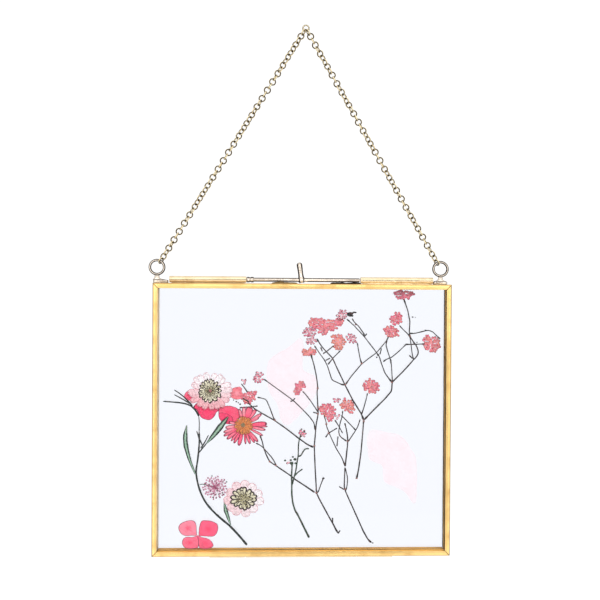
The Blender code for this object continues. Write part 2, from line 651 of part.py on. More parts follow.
def right_gypsophila(parent, mats):
    """The spray that fills the upper right of the pane: a stalk and its two main limbs."""
    pair = (mats["stalk"], mats["blush"])
    spray("gypsophila_right_stalk", [(28.0, 38.5), (30.0, 52.0), (31.0, 67.8)], [], [], "mid", pair, parent)
    trunk = [(31.0, 68.3), (26.7, 77.0), (21.5, 86.0), (16.5, 97.0), (11.0, 103.0), (8.0, 108.0)]
    twigs = [
        [(29.8, 70.8), (31.0, 74.0), (32.8, 81.0), (34.6, 84.0)],
        [(21.5, 86.0), (15.0, 88.5), (12.0, 95.5), (6.5, 105.0), (4.5, 111.0)],
        [(21.5, 86.0), (29.5, 96.5), (38.5, 102.0), (44.5, 111.5)],
        [(29.5, 96.5), (27.0, 104.0), (25.5, 108.5)],
        [(13.8, 100.0), (18.0, 106.0)],
        [(8.0, 108.0), (10.0, 114.0)],
        [(37.0, 95.2), (45.5, 100.0), (54.0, 106.0), (62.0, 107.0)],
        [(29.5, 96.5), (33.4, 93.6), (37.0, 95.2)],
    ]
    blooms = [((35.0, 85.0), (8.6, 7.4), 6), ((4.0, 112.5), (6.8, 5.4), 5), ((4.8, 108.2), (5.6, 4.2), 5),
              ((45.0, 113.3), (8.6, 6.6), 6), ((25.0, 109.5), (5.6, 5.0), 5), ((18.5, 108.0), (8.4, 8.4), 7),
              ((10.8, 116.6), (17.6, 9.0), 11), ((65.2, 107.0), (9.6, 8.2), 7)]
    spray("gypsophila_right_left_limb", trunk, twigs, blooms, "mid", pair, parent)
    trunk = [(31.2, 68.8), (38.5, 75.5), (45.0, 82.5), (45.5, 87.5), (55.0, 97.0), (59.0, 102.5)]
    trunk += [(54.5, 111.5), (54.5, 120.0), (51.8, 129.5)]
    twigs = [
        [(45.5, 87.5), (41.5, 92.5), (38.5, 102.0), (32.0, 110.5), (22.5, 119.5), (21.0, 120.8)],
        [(45.6, 87.6), (44.0, 102.5), (43.6, 106.0)],
        [(54.5, 111.5), (48.5, 118.5)],
        [(56.0, 98.0), (55.5, 110.0)],
        [(54.5, 112.0), (60.0, 114.0), (64.5, 113.5), (68.6, 111.2), (70.4, 109.3)],
        [(22.5, 119.5), (24.4, 121.8)],
    ]
    blooms = [((51.8, 132.0), (10.6, 7.0), 9), ((47.0, 119.6), (8.0, 6.8), 6), ((19.8, 121.4), (6.8, 5.8), 6),
              ((24.8, 122.2), (2.8, 2.6), 4)]
    spray("gypsophila_right_limb", trunk, twigs, blooms, "high", pair, parent)


def build():
    """Makes every piece, parented to the marker of the joint that moves it."""
    remove_everything()
    mats = make_finishes()
    ring_rise = RING_R * math.sin(math.atan2(NAIL_DROP - RING_H + TOP_LINK_Z, 0.5 * (RING_X[1] - RING_X[0])))
    swing = empty("swing_axis", in_world(-FRAME_X, RING_PLANE_Y, RING_Z + ring_rise))
    cover = empty("hinge_axis", in_world(0, MID_Y, HINGE_Z), swing)
    slide = empty("bolt_axis", in_world(0, MID_Y, TUBE_Z), swing)

    chain(mats)
    glazed_half("back", BACK_Y, swing, mats)
    glazed_half("front", 0.0, cover, mats)
    bolt_tubes(swing, cover, mats)
    bolt(slide, mats)
    for side, x in zip(("left", "right"), RING_X):
        ring_and_foot(side, x, swing, mats)
    hinge(swing, cover, mats)

    flower_heads(swing, mats)
    leafy_stalk(swing, mats)
    left_gypsophila(swing, mats)
    dark_sprig(swing, mats)
    middle_gypsophila(swing, mats)
    right_gypsophila(swing, mats)


build()
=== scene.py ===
"""Looks of a hanging pressed-flower frame: brass channel, clear glass, fine chain and dried flowers.

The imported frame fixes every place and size. Lengths below are in millimetres and are measured, as
on the workbench, from the frame's front face (y), its bottom edge (z) and its middle (x). Only the
stage is in metres, from the nail.
"""

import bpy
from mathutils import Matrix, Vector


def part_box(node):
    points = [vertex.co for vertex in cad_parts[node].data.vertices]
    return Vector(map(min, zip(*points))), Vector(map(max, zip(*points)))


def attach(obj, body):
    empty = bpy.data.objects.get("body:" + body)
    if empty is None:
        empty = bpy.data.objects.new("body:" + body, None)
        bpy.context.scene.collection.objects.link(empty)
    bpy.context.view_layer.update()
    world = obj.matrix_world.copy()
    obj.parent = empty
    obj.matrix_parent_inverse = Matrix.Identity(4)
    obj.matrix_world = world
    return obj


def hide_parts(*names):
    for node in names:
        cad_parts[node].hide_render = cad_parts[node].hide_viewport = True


bl_info = {
    "name": "Pressed Flower Frame",
    "version": (1, 0, 0),
    "blender": (4, 5, 0),
    "location": "3D View > Sidebar > Pressed Frame",
    "description": "Builds the brass, glass, chain and dried flowers of a hanging pressed-flower frame",
    "category": "Add Mesh",
}

import math

import bmesh
import bpy
import numpy as np
from mathutils import Matrix, Vector

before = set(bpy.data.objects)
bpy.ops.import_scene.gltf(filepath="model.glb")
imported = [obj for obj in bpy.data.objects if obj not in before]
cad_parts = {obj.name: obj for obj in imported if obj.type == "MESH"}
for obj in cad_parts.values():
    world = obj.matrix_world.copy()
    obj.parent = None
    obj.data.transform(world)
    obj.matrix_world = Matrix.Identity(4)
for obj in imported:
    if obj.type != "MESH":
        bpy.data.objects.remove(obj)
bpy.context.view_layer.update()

MM = 0.001


def span(node):
    """A node's lowest and highest corners, in metres, as arrays."""
    low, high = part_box(node)
    return np.array(low), np.array(high)


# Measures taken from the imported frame. The workbench's corner is in metres, the rest in millimetres.
BOTTOM_LOW, BOTTOM_HIGH = span("front_channel_bottom")
LEFT_LOW = span("front_channel_left")[0]
RIGHT_HIGH = span("front_channel_right")[1]
TOP_HIGH = span("front_channel_top")[1]
BACK_LOW = span("back_channel_bottom")[0]
WORKBENCH = np.array([(LEFT_LOW[0] + RIGHT_HIGH[0]) / 2, BOTTOM_LOW[1], BOTTOM_LOW[2]])
FRAME_W = (RIGHT_HIGH[0] - LEFT_LOW[0]) / MM
FRAME_H = (TOP_HIGH[2] - BOTTOM_LOW[2]) / MM
HALF_DEPTH = (BOTTOM_HIGH[1] - BOTTOM_LOW[1]) / MM
CHANNEL_FACE = (BOTTOM_HIGH[2] - BOTTOM_LOW[2]) / MM
BACK_Y = (BACK_LOW[1] - BOTTOM_LOW[1]) / MM

# The layers that the flowers are pressed in, as depths behind the front face.
LAYER = {"veil": 5.05, "low": 4.60, "mid": 4.05, "high": 3.45}


def on_bench(node):
    """A node's lowest and highest corners in workbench millimetres."""
    low, high = span(node)
    return (low - WORKBENCH) / MM, (high - WORKBENCH) / MM


def in_world(node):
    """A node's lowest and highest corners in world millimetres."""
    low, high = span(node)
    return low / MM, high / MM


def bar_of(node):
    """Where a round bar along X lies on the bench: its two ends, its radius and its axis's place."""
    low, high = on_bench(node)
    middle = (low + high) / 2
    return low[0], high[0], (high[2] - low[2]) / 2, (0, middle[1], middle[2])


def ring_of(low, high, stouter=1.0):
    """A wire ring's middle, its radius to the middle of its wire, and its wire's radius."""
    wire = (high[1] - low[1]) / 2 * stouter
    return (low + high) / 2, (high[0] - low[0]) / 2 - wire, wire


# ---- Settings that a user would change ----

class FrameSizes(bpy.types.PropertyGroup):
    """Sizes of the metalwork."""

    sheet: bpy.props.FloatProperty(
        name="Brass sheet", description="Thickness of the folded brass strip, in millimetres",
        default=0.4, min=0.2, max=0.8)
    bend: bpy.props.FloatProperty(
        name="Fold radius", description="Outer radius where the strip is folded, in millimetres",
        default=0.8, min=0.3, max=1.5)
    waver: bpy.props.FloatProperty(
        name="Hand folding", description="How far a hand-folded channel wavers, in millimetres",
        default=0.035, min=0.0, max=0.2)
    link_radius: bpy.props.FloatProperty(
        name="Link radius", description="Chain link, to the middle of its wire, in millimetres",
        default=1.53, min=1.0, max=2.5)
    link_wire: bpy.props.FloatProperty(
        name="Link wire", description="Radius of the chain's wire, in millimetres",
        default=0.36, min=0.1, max=0.6)


class FrameColours(bpy.types.PropertyGroup):
    """Colours of the finishes, as sRGB hex codes."""

    brass: bpy.props.StringProperty(
        name="Brass", description="Polished brass strip", default="F6D089")
    solder: bpy.props.StringProperty(
        name="Tinned brass", description="Wire, bolt and feet, brass thinly tinned", default="EBDFD0")
    chain: bpy.props.StringProperty(
        name="Chain", description="Gold-coloured plating of the chain", default="F8E8BE")
    hot_pink: bpy.props.StringProperty(
        name="Hot pink", description="The deep pink petals", default="F8426F")
    blush: bpy.props.StringProperty(
        name="Blush", description="The pale rays of the two large daisies", default="F8BFC2")
    floret: bpy.props.StringProperty(
        name="Floret", description="The gypsophila's florets", default="F27289")
    stalk: bpy.props.StringProperty(
        name="Stalk", description="The dried dark stalks", default="2E2422")
    leaf: bpy.props.StringProperty(
        name="Leaf", description="The dried green leaves", default="7FA884")


class FrameSettings(bpy.types.PropertyGroup):
    """All the settings, kept on the scene."""

    sizes: bpy.props.PointerProperty(type=FrameSizes)
    colours: bpy.props.PointerProperty(type=FrameColours)


def sizes():
    """The size settings of the open scene."""
    return bpy.context.scene.pressed_frame.sizes


def colours():
    """The colour settings of the open scene."""
    return bpy.context.scene.pressed_frame.colours


# ---- Shapes: points on grids, worked out as whole arrays ----

def grid(*parts):
    """Arrays and numbers spread over one grid, as the last axis of one array."""
    return np.stack(np.broadcast_arrays(*parts), -1)


def circle(sides):
    """Angles set evenly round a circle."""
    return np.linspace(0, 2 * np.pi, sides, endpoint=False)


def compass(turn):
    """Unit (x, z) steps at angles from +X."""
    return np.stack([np.cos(turn), np.sin(turn)], -1)


def left_of(path):
    """Unit steps to the left of a path at each of its points."""
    along = np.gradient(path, axis=0)
    along = along / np.hypot(*along.T)[:, None]
    return np.stack([-along[:, 1], along[:, 0]], -1)


def column(value, many):
    """A number, or one number for each of many shapes, ready to spread over their grids."""
    return np.broadcast_to(np.asarray(value, float), (many,))[:, None, None]


def carried(path, beside, depth):
    """A section carried along an (x, z) path: how far beside it each point lies, and how deep."""
    left = left_of(path)
    x, z = (path[:, k, None] + left[:, k, None] * beside for k in (0, 1))
    return np.stack([x, depth, z], -1)


def laid(base, heading, along, beside, depth):
    """Grids laid out from (x, z) base points: how far along and beside its heading each point lies."""
    forth, side = np.cos(heading), np.sin(heading)
    x = base[:, 0, None, None] + along * forth - beside * side
    z = base[:, 1, None, None] + along * side + beside * forth
    return grid(x, depth, z)


def skin(points, pressed=None, closed=False, slot=0):
    """Covers grids of points with quads.

    points is (shapes, rows, columns, 3), or one grid of (rows, columns, 3). Columns always close
    round; rows close too if closed, and otherwise end in flat caps. pressed holds three numbers
    for each point, which the finishes read: along, across and tone.
    """
    points = np.asarray(points, float)
    if points.ndim == 3:
        points = points[None]
    many, rows, cols = points.shape[:3]
    row, col = np.meshgrid(np.arange(rows if closed else rows - 1), np.arange(cols), indexing="ij")
    next_row, next_col = (row + 1) % rows, (col + 1) % cols
    quads = np.stack([row * cols + col, row * cols + next_col,
                      next_row * cols + next_col, next_row * cols + col], -1).reshape(-1, 4)
    starts = np.arange(many) * rows * cols
    corners = [(quads[None] + starts[:, None, None]).ravel()]
    counts = [np.full(many * len(quads), 4)]
    if not closed:
        for cap in (np.arange(cols)[::-1], np.arange(cols) + (rows - 1) * cols):
            corners.append((cap[None] + starts[:, None]).ravel())
            counts.append(np.full(many, cols))
    counts = np.concatenate(counts)
    pressed = np.broadcast_to(np.zeros(3) if pressed is None else pressed, points.shape)
    return {"points": points.reshape(-1, 3), "corners": np.concatenate(corners), "counts": counts,
            "pressed": pressed.reshape(-1, 3), "slots": np.full(len(counts), slot)}


def piece(name, shapes, finishes, body, node, smooth=40, bench=True):
    """Joins shapes into one mesh object that rides on a body and stands for a CAD node.

    Points are in workbench millimetres, or in world millimetres if bench is False. Edges sharper
    than smooth degrees stay sharp.
    """
    starts = np.cumsum([0] + [len(s["points"]) for s in shapes[:-1]])
    points, pressed, counts, slots = (np.concatenate([s[key] for s in shapes])
                                      for key in ("points", "pressed", "counts", "slots"))
    points = points * MM
    if bench:
        points = points + WORKBENCH
    corners = np.concatenate([s["corners"] + start for s, start in zip(shapes, starts)])
    mesh = bpy.data.meshes.new(name)
    mesh.vertices.add(len(points))
    mesh.vertices.foreach_set("co", points.astype(np.float32).ravel())
    mesh.loops.add(len(corners))
    mesh.loops.foreach_set("vertex_index", corners.astype(np.int32))
    mesh.polygons.add(len(counts))
    mesh.polygons.foreach_set("loop_start", (np.cumsum(counts) - counts).astype(np.int32))
    mesh.polygons.foreach_set("material_index", slots.astype(np.int32))
    mesh.update(calc_edges=True)
    values = mesh.attributes.new("pressed", "FLOAT_VECTOR", "POINT")
    values.data.foreach_set("vector", pressed.astype(np.float32).ravel())
    for finish in finishes:
        mesh.materials.append(finish)
    bm = bmesh.new()
    bm.from_mesh(mesh)
    bmesh.ops.recalc_face_normals(bm, faces=bm.faces)
    bm.to_mesh(mesh)
    bm.free()
    mesh.shade_smooth()
    mesh.set_sharp_from_angle(angle=math.radians(smooth))
    made = bpy.data.objects.new(name, mesh)
    bpy.context.scene.collection.objects.link(made)
    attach(made, body)
    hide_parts(node)
    return made


def wander(along, rng, waves=4, longest=60.0):
    """A smooth random curve of about unit height: a sum of sines, each shorter and lower."""
    total = np.zeros_like(along, dtype=float)
    for k in range(waves):
        pitch = longest / (1.7 ** k)
        total += np.sin(2 * np.pi * along / pitch + rng.uniform(0, 2 * np.pi)) / (1.3 ** k)
    return total / 2


def painted_shading(share, reached=0.42, fade=0.2):
    """Painted shade on a round bar's flanks as seen from the front: 0 out to the share reached of its
    radius, 1 at its flanks.
    """
    return np.clip((np.abs(share) - reached) / fade, 0, 1)


def lathe(profile, axis, centre, sides=32, darkening=1.0):
    """A solid turned about an axis: radius against distance along it, with round sides.

    The last argument sets how dark the flanks, as seen from the front, are painted as shade.
    """
    along, radius = np.array(profile, float).T
    turn = circle(sides)
    rise = np.broadcast_to(along[:, None], (len(along), sides))
    first, second = radius[:, None] * np.cos(turn), radius[:, None] * np.sin(turn)
    order = {"x": (rise, first, second), "z": (first, second, rise)}[axis]
    # The flanks seen from the front are darkened as painted shade.
    flank = painted_shading(np.sin(turn)) if axis == "x" else painted_shading(np.cos(turn), reached=0.3)
    pressed = grid(rise, turn / (2 * np.pi), flank * darkening)
    return skin(np.stack(order, -1) + np.array(centre), pressed)


TUBE_WALL = 0.3
TUBE_STATIONS = 24
SEAM_HALF_ANGLES = (3, 7, 14)


def pipe(start, end, outer, centre, sides=40, seam=None):
    """A rolled open tube along X: stations along it, each a wall's round, with rounded lips.

    The outer round is carried from lip to lip and back along the bore. seam is the angle of the
    dark line where the rolled sheet meets, above straight ahead, at the start and at the end.
    """
    bore = outer - TUBE_WALL
    lip = (outer - bore) * 0.4
    stations = np.linspace(start + lip, end - lip, TUBE_STATIONS)
    along = np.concatenate([stations, [end - lip * 0.3, end, end, start, start, start + lip * 0.3]])
    rims = [outer - lip * 0.3, outer - lip, bore, bore, outer - lip, outer - lip * 0.3]
    radius = np.concatenate([np.full(TUBE_STATIONS, outer), rims])
    near = np.radians([-a for a in SEAM_HALF_ANGLES[::-1]] + list(SEAM_HALF_ANGLES))
    rest = np.linspace(near[-1], near[0] + 2 * np.pi, sides - 4)[1:-1]
    turn = np.concatenate([near, rest])
    mark = np.zeros(len(turn))
    drift = np.zeros(len(along))
    if seam:
        mark[2:4] = 1.0
        drift = np.interp(along, (start, end), np.radians(seam))
    a = turn[None, :] + drift[:, None]
    points = grid(along[:, None], -radius[:, None] * np.cos(a), radius[:, None] * np.sin(a))
    pressed = grid(along[:, None], a / (2 * np.pi), mark[None, :])
    return skin(points + np.array(centre), pressed, closed=True)


def wire_ring(centre, radius, wire, around=48, across=16, flat=0.0):
    """A ring of round wire in the XZ plane, slightly out of round if flat is given."""
    a, b = circle(around)[:, None], circle(across)[None, :]
    reach = radius * (1 + flat * np.cos(2 * a + 0.6)) + wire * np.cos(b)
    points = grid(reach * np.cos(a), wire * np.sin(b), reach * np.sin(a))
    # The wire's flanks seen from the front are darkened as painted shade.
    pressed = grid(a * radius, b / (2 * np.pi), painted_shading(np.cos(b), reached=0.18))
    return skin(points + np.array(centre), pressed, closed=True)


def rounded(points, soft, step=0.7):
    """A path through (x, z) points, its corners cut three times within soft millimetres."""
    path = np.array(points, float)
    fine = [path[:1]]
    for start, end in zip(path[:-1], path[1:]):
        count = max(1, int(np.hypot(*(end - start)) / soft))
        fine.append(start + (end - start) * (np.arange(1, count + 1) / count)[:, None])
    path = np.concatenate(fine)
    for _ in range(3):
        a, b = path[:-1], path[1:]
        cut = np.stack([0.75 * a + 0.25 * b, 0.25 * a + 0.75 * b], 1).reshape(-1, 2)
        path = np.concatenate([path[:1], cut, path[-1:]])
    reach = np.concatenate([[0], np.cumsum(np.hypot(*np.diff(path, axis=0).T))])
    at = np.linspace(0, reach[-1], max(4, int(reach[-1] / step) + 1))
    return np.stack([np.interp(at, reach, path[:, k]) for k in (0, 1)], -1), at


def petals(base, heading, length, width, depth, root=0.4, widen=2.0, blunt=3.0, notch=0.0, bend=0.0,
           ripple=0.0, thick=0.16, tone=0.5, rows=9, cols=10, slot=0, seed=0):
    """Flat petals, one for each base point, each a closed shell that is thin at its rim.

    u runs from base to tip; v = cos(s) runs across and h = sin(s) through the petal. Half the
    width is width/2 (1 - (1 - root)(1 - u)^widen) sqrt(1 - u^blunt). A point lies length u
    (1 - notch (1 - |v|)^2 u^4) along the heading and bend length u^2 beside it; its depth is
    depth + ripple sin(9 u + 5 v + phase) + h thick/2, thinner at the tip.
    """
    rng = np.random.default_rng(seed)
    base = np.atleast_2d(np.asarray(base, float))
    many = len(base)
    heading, length, width, depth, root, blunt, notch, bend, ripple, thick, tone = (
        column(value, many)
        for value in (heading, length, width, depth, root, blunt, notch, bend, ripple, thick, tone))
    u = 1 - (1 - np.linspace(0, 1, rows)[None, :, None]) ** 1.3
    s = circle(cols)[None, None, :]
    v, h = np.cos(s), np.sin(s)
    half = width / 2 * (1 - (1 - root) * (1 - u) ** widen)
    half = half * np.sqrt(np.clip(1 - (u * 0.995) ** blunt, 0, 1))
    along = length * u * (1 - notch * (1 - np.abs(v)) ** 2 * u ** 4)
    beside = half * v + bend * length * u ** 2
    wave = np.sin(9 * u + 5 * v + rng.uniform(0, 2 * np.pi, (many, 1, 1))) * ripple
    y = depth + wave + h * thick / 2 * (1 - 0.5 * u)
    return skin(laid(base, heading, along, beside, y), grid(u, v, tone), slot=slot)


def stalk(points, wide, narrow, depth, soft=1.6, knots=(), seed=0, slot=0):
    """A dried stalk: an uneven round section carried along a path that tapers from wide to narrow.

    knots are shares of its length where it swells.
    """
    rng = np.random.default_rng(seed)
    path, at = rounded(points, soft)
    share = at / at[-1]
    radius = (wide + (narrow - wide) * share) / 2
    radius = radius * (1 + 0.10 * wander(at, rng, 4, 9.0))
    for knot in knots:
        radius = radius + 0.16 * np.exp(-((at - knot * at[-1]) / 0.7) ** 2)
    radius[0] *= 0.75
    radius[-1] *= 0.6
    s, flattened, tone = circle(8), 0.75, 0.5
    y = depth + 0.05 * wander(at, rng, 3, 25.0)[:, None] + radius[:, None] * flattened * np.sin(s)
    pressed = grid(at[:, None] / 10, np.cos(s)[None], tone)
    return skin(carried(path, radius[:, None] * np.cos(s), y), pressed, slot=slot)


def buds(centres, across, high, depth, tone=0.5, slot=0, rows=7, cols=10, thick=0.5):
    """Small pressed buds: flattened eggs that lie along X, each a sine's radius against its length."""
    centres = np.atleast_2d(np.asarray(centres, float))
    across, high, depth, tone, thick = (column(value, len(centres))
                                        for value in (across, high, depth, tone, thick))
    a = np.linspace(0.06, np.pi - 0.06, rows)[None, :, None]
    s = circle(cols)[None, None, :]
    along = -np.cos(a) * high / 2
    beside = np.sin(a) * (1 - 0.2 * np.cos(a)) * np.cos(s) * across / 2
    y = depth + np.sin(a) * np.sin(s) * thick / 2
    pressed = grid(0.5 - np.cos(a) / 2, np.cos(s), tone)
    return skin(laid(centres, 0.0, along, beside, y), pressed, slot=slot)


# ---- Finishes ----

def linear(code):
    """The linear colour of an sRGB hex code."""
    part = np.array([int(code[i:i + 2], 16) for i in (0, 2, 4)]) / 255
    part = np.where(part <= 0.04045, part / 12.92, ((part + 0.055) / 1.055) ** 2.4)
    return (*part.tolist(), 1.0)


class Nodes:
    """Short ways to add nodes to a tree.

    A value is a number, a hex colour code, a socket, or a node whose first output is meant.
    """

    def __init__(self, tree):
        self.tree = tree

    def fill(self, socket, value):
        """Sets a socket to a number or a colour, or links it."""
        if isinstance(value, bpy.types.Node):
            value = next(out for out in value.outputs if out.enabled)
        if isinstance(value, bpy.types.NodeSocket):
            self.tree.links.new(value, socket)
        else:
            socket.default_value = linear(value) if isinstance(value, str) else value

    def add(self, kind, inputs=None, **settings):
        """Adds one node. inputs maps a socket's name or number to a value."""
        made = self.tree.nodes.new("ShaderNode" + kind)
        for key, value in settings.items():
            setattr(made, key, value)
        for key, value in (inputs or {}).items():
            self.fill(made.inputs[key], value)
        return made

    def math(self, operation, first, second=0.0):
        """The result of one sum."""
        return self.add("Math", {0: first, 1: second}, operation=operation)

    def blend(self, share, first, second, mode="MIX"):
        """One colour blended over another."""
        made = self.add("Mix", {0: share, 6: first, 7: second}, data_type="RGBA", blend_type=mode)
        return made.outputs[2]

    def remap(self, value, start, end, low=0.0, high=1.0):
        """The stretch of a value from start to end, spread from low to high and held there."""
        return self.add("MapRange", {"Value": value, "From Min": start, "From Max": end,
                                     "To Min": low, "To Max": high})

    def noise(self, vector, scale, detail, **inputs):
        """Noise over a vector."""
        return self.add("TexNoise", {"Vector": vector, "Scale": scale, "Detail": detail, **inputs})

    def pulled(self, vector, scale):
        """A vector stretched, so that a pattern over it runs lengthwise."""
        return self.add("Mapping", {"Vector": vector, "Scale": scale})

    def split(self, vector):
        """The three numbers of a vector."""
        return self.add("SeparateXYZ", {0: vector}).outputs


class Finish(Nodes):
    """A material in the making, round its Principled shader."""

    def __init__(self, name, inputs):
        self.mat = bpy.data.materials.new(name)
        self.mat.use_nodes = True
        super().__init__(self.mat.node_tree)
        self.shader = self.tree.nodes["Principled BSDF"]
        self.output = self.tree.nodes["Material Output"]
        for key, value in inputs.items():
            self.put(key, value)

    def put(self, key, value):
        """Fills an input of the shader."""
        self.fill(self.shader.inputs[key], value)

    def place(self):
        """A point's place on its object, in metres."""
        return self.add("TexCoord").outputs["Object"]

    def pressed(self):
        """The three numbers that a shape keeps on its points: along, across and tone."""
        return self.add("Attribute", attribute_name="pressed").outputs["Vector"]

    def bump(self, height, strength, distance, **inputs):
        """Bends the shader's normal by a height."""
        made = self.add("Bump", {"Height": height, "Strength": strength, "Distance": distance, **inputs})
        self.put("Normal", made)
        return made

    def mix(self, share, first, second):
        """Mixes two shaders and makes that the surface."""
        made = self.add("MixShader", {0: share, 1: first, 2: second})
        self.fill(self.output.inputs["Surface"], made)
        return made


# Dark colour for points with tone 1: oxidised brass at mitres and seams, painted shade elsewhere.
OXIDE_AND_SHADE = "140D09"


def polished_metal(name, code, tarnish, roughness, dents=0.12, metallic=1.0):
    """Metal that was drawn or rolled and then polished by hand.

    Fine lines run along it, since the pattern is pulled out along the strip. A faint tarnish lies
    in patches 6 mm across, and slow dents bend its reflections. Points with tone 1 turn dark and
    dull: at mitres and tube seams that is oxidised brass, while on the flanks of round bars and
    wires, the channels' lips, the ring feet's rims and the mounds under the bolt's rod it is
    painted shade.
    """
    finish = Finish(name, {"Specular IOR Level": 0.1})
    strip, place = finish.pressed(), finish.place()
    darkening = finish.split(strip)[2]
    lines = finish.noise(finish.pulled(strip, (0.35, 9.0, 9.0)), 3.0, 4.0)
    dull = finish.remap(finish.noise(place, 160.0, 3.0), 0.48, 0.75)
    colour = finish.blend(finish.math("MULTIPLY", dull, 0.45), code, tarnish)
    colour = finish.blend(finish.math("MULTIPLY", lines, 0.16), colour, tarnish)
    # Tone 1 blends to the dark colour and drops the metal: oxidised brass at mitres and seams, painted
    # shade on flanks, lips, foot rims and the mounds under the rod.
    finish.put("Base Color", finish.blend(darkening, colour, OXIDE_AND_SHADE))
    bare = finish.math("SUBTRACT", 1.0, darkening)
    finish.put("Metallic", finish.math("MULTIPLY", bare, metallic))
    rough = finish.remap(lines, 0.0, 1.0, roughness * 0.7, roughness * 1.5)
    rough = finish.math("ADD", rough, finish.math("MULTIPLY", dull, 0.10))
    finish.put("Roughness", finish.math("ADD", rough, finish.math("MULTIPLY", darkening, 0.5)))
    fine = finish.bump(lines, 0.10, 0.00004)
    finish.bump(finish.noise(place, 95.0, 1.0), dents, 0.0008, Normal=fine)
    return finish.mat


def polished_brass():
    """Brass strip, folded by hand over the glass and polished: warm, with soft streaks."""
    return polished_metal("polished_brass_strip", colours().brass, "B07A30", 0.27)


def washed_brass():
    """Brass tube that the solder's flux has washed pale."""
    return polished_metal("solder_washed_brass_tube", "F8E6C2", "DDBB85", 0.36, metallic=0.93)


# The inside of each channel, one brass with its light and shade painted in by side: lit orange-gold at the
# bottom, near white at the left and top, near black in shade at the right. Columns: colour, tarnish, share
# of metal, roughness, front lip, back lip; the lip numbers are painted shade along the glass.
PAINTED_INSIDES = {
    "bottom": ("FFC869", "E9A648", 0.05, 0.5, 0.0, 1.0),
    "left": ("F8EFDC", "E6D2AA", 0.3, 0.5, 0.0, 0.0),
    "top": ("F0DCB4", "D6B478", 0.3, 0.5, 0.0, 0.0),
    "right": ("1C1410", "0E0A08", 0.1, 0.7, 1.0, 1.0),
}


def channel_inside(side):
    """The inside of a channel, which no buff reaches, with its light and shade painted in by side: lit gold
    at the bottom, pale at the left and top, near black as painted shade at the right.
    """
    code, tarnish, metallic, roughness = PAINTED_INSIDES[side][:4]
    return polished_metal(f"unbuffed_{side}_channel_inside", code, tarnish, roughness,
                          metallic=metallic)


def tinned_brass():
    """Brass wire and rod under a thin coat of solder: paler and more silvery than the strip."""
    return polished_metal("tinned_brass_wire", colours().solder, "8C7662", 0.22, dents=0.2)


def plated_wire():
    """Steel wire with a gold-coloured flash, tumbled bright before it was linked."""
    return polished_metal("gold_flashed_chain_wire", colours().chain, "C9A25C", 0.2, dents=0.1)


def float_glass():
    """Clear float glass, 2 mm: a faint blue in its depth, with waves too slow to see straight on."""
    finish = Finish("clear_float_glass", {"Base Color": "FCFDFF", "Roughness": 0.0, "IOR": 1.5,
                                          "Transmission Weight": 1.0})
    finish.bump(finish.noise(finish.place(), 22.0, 0.0), 0.02, 0.0002)
    depth = finish.add("VolumeAbsorption", {"Color": "B9C4F0", "Density": 14.0})
    finish.fill(finish.output.inputs["Volume"], depth)
    return finish.mat


def dried_petal(name, faded, fresh, rim, heart, through=0.35, rim_at=0.72, rim_share=0.6,
                rim_soft=0.0, veins=7.0, grain=0.8, spread=0.12):
    """A dried and pressed petal: papery, veined along its length, darker where its rim shrank.

    The tone kept on its points goes from faded to fresh, and its foot takes the heart's colour.
    The rim starts at the share rim_at of the way out, within rim_soft or else up to the edge.
    grain is the size of its mottling, in millimetres, spread is how strong that is, and through
    is the share of light that comes through it from behind.
    """
    finish = Finish(name, {"Roughness": 0.62, "Specular IOR Level": 0.2})
    along, across, tone = finish.split(finish.pressed())
    mottle = finish.noise(finish.place(), 1 / (grain * MM), 4.0)
    light = finish.remap(mottle, 0.3, 0.7, 1 - 2 * spread, 1 + spread)
    grey = finish.add("CombineColor", {0: light, 1: light, 2: light})
    colour = finish.blend(1.0, finish.blend(tone, faded, fresh), grey, mode="MULTIPLY")
    colour = finish.blend(finish.remap(along, 0.0, 0.5, 0.75, 0.0), colour, heart)
    stripe = finish.math("SINE", finish.math("MULTIPLY", across, veins * math.pi))
    stripe = finish.remap(stripe, 0.2, 1.0, 0.0, 0.12)
    colour = finish.blend(stripe, colour, rim)
    edge = finish.math("MAXIMUM", finish.math("ABSOLUTE", across), finish.math("POWER", along, 2.5))
    uneven = finish.math("MULTIPLY", finish.math("SUBTRACT", mottle, 0.5), 0.25)
    edge = finish.remap(finish.math("ADD", edge, uneven), rim_at, rim_at + (rim_soft or 1 - rim_at),
                        0.0, rim_share)
    colour = finish.blend(edge, colour, rim)
    finish.put("Base Color", colour)
    height = finish.math("ADD", finish.math("MULTIPLY", stripe, 1.5), mottle)
    normal = finish.bump(height, 0.3, 0.00006)
    glow = finish.add("BsdfTranslucent", {"Color": colour, "Normal": normal})
    finish.mix(through, finish.shader, glow)
    return finish.mat


def dried_stalk(name, light, dark):
    """A dried stalk: fibres along it and brown flecks, with painted shade darkening its sides as seen from
    the front, so the ridge that faces out looks lighter.
    """
    finish = Finish(name, {"Roughness": 0.7, "Specular IOR Level": 0.1})
    values = finish.pressed()
    across, tone = finish.split(values)[1:]
    fibres = finish.noise(finish.pulled(values, (1.0, 6.0, 1.0)), 3.0, 5.0)
    flecks = finish.noise(finish.place(), 700.0, 2.0)
    colour = finish.blend(finish.remap(fibres, 0.35, 0.7), dark, light)
    colour = finish.blend(finish.remap(flecks, 0.55, 0.7, high=0.4), colour, "7A5246")
    colour = finish.blend(finish.remap(tone, 0.6, 1.0), colour, "9C6A62")
    # Painted shade: darker towards the sides as seen from the front.
    edge = finish.math("POWER", finish.math("ABSOLUTE", across), 3.0)
    colour = finish.blend(finish.math("MULTIPLY", edge, 0.6), colour, dark)
    finish.put("Base Color", colour)
    finish.bump(fibres, 0.5, 0.00006)
    return finish.mat


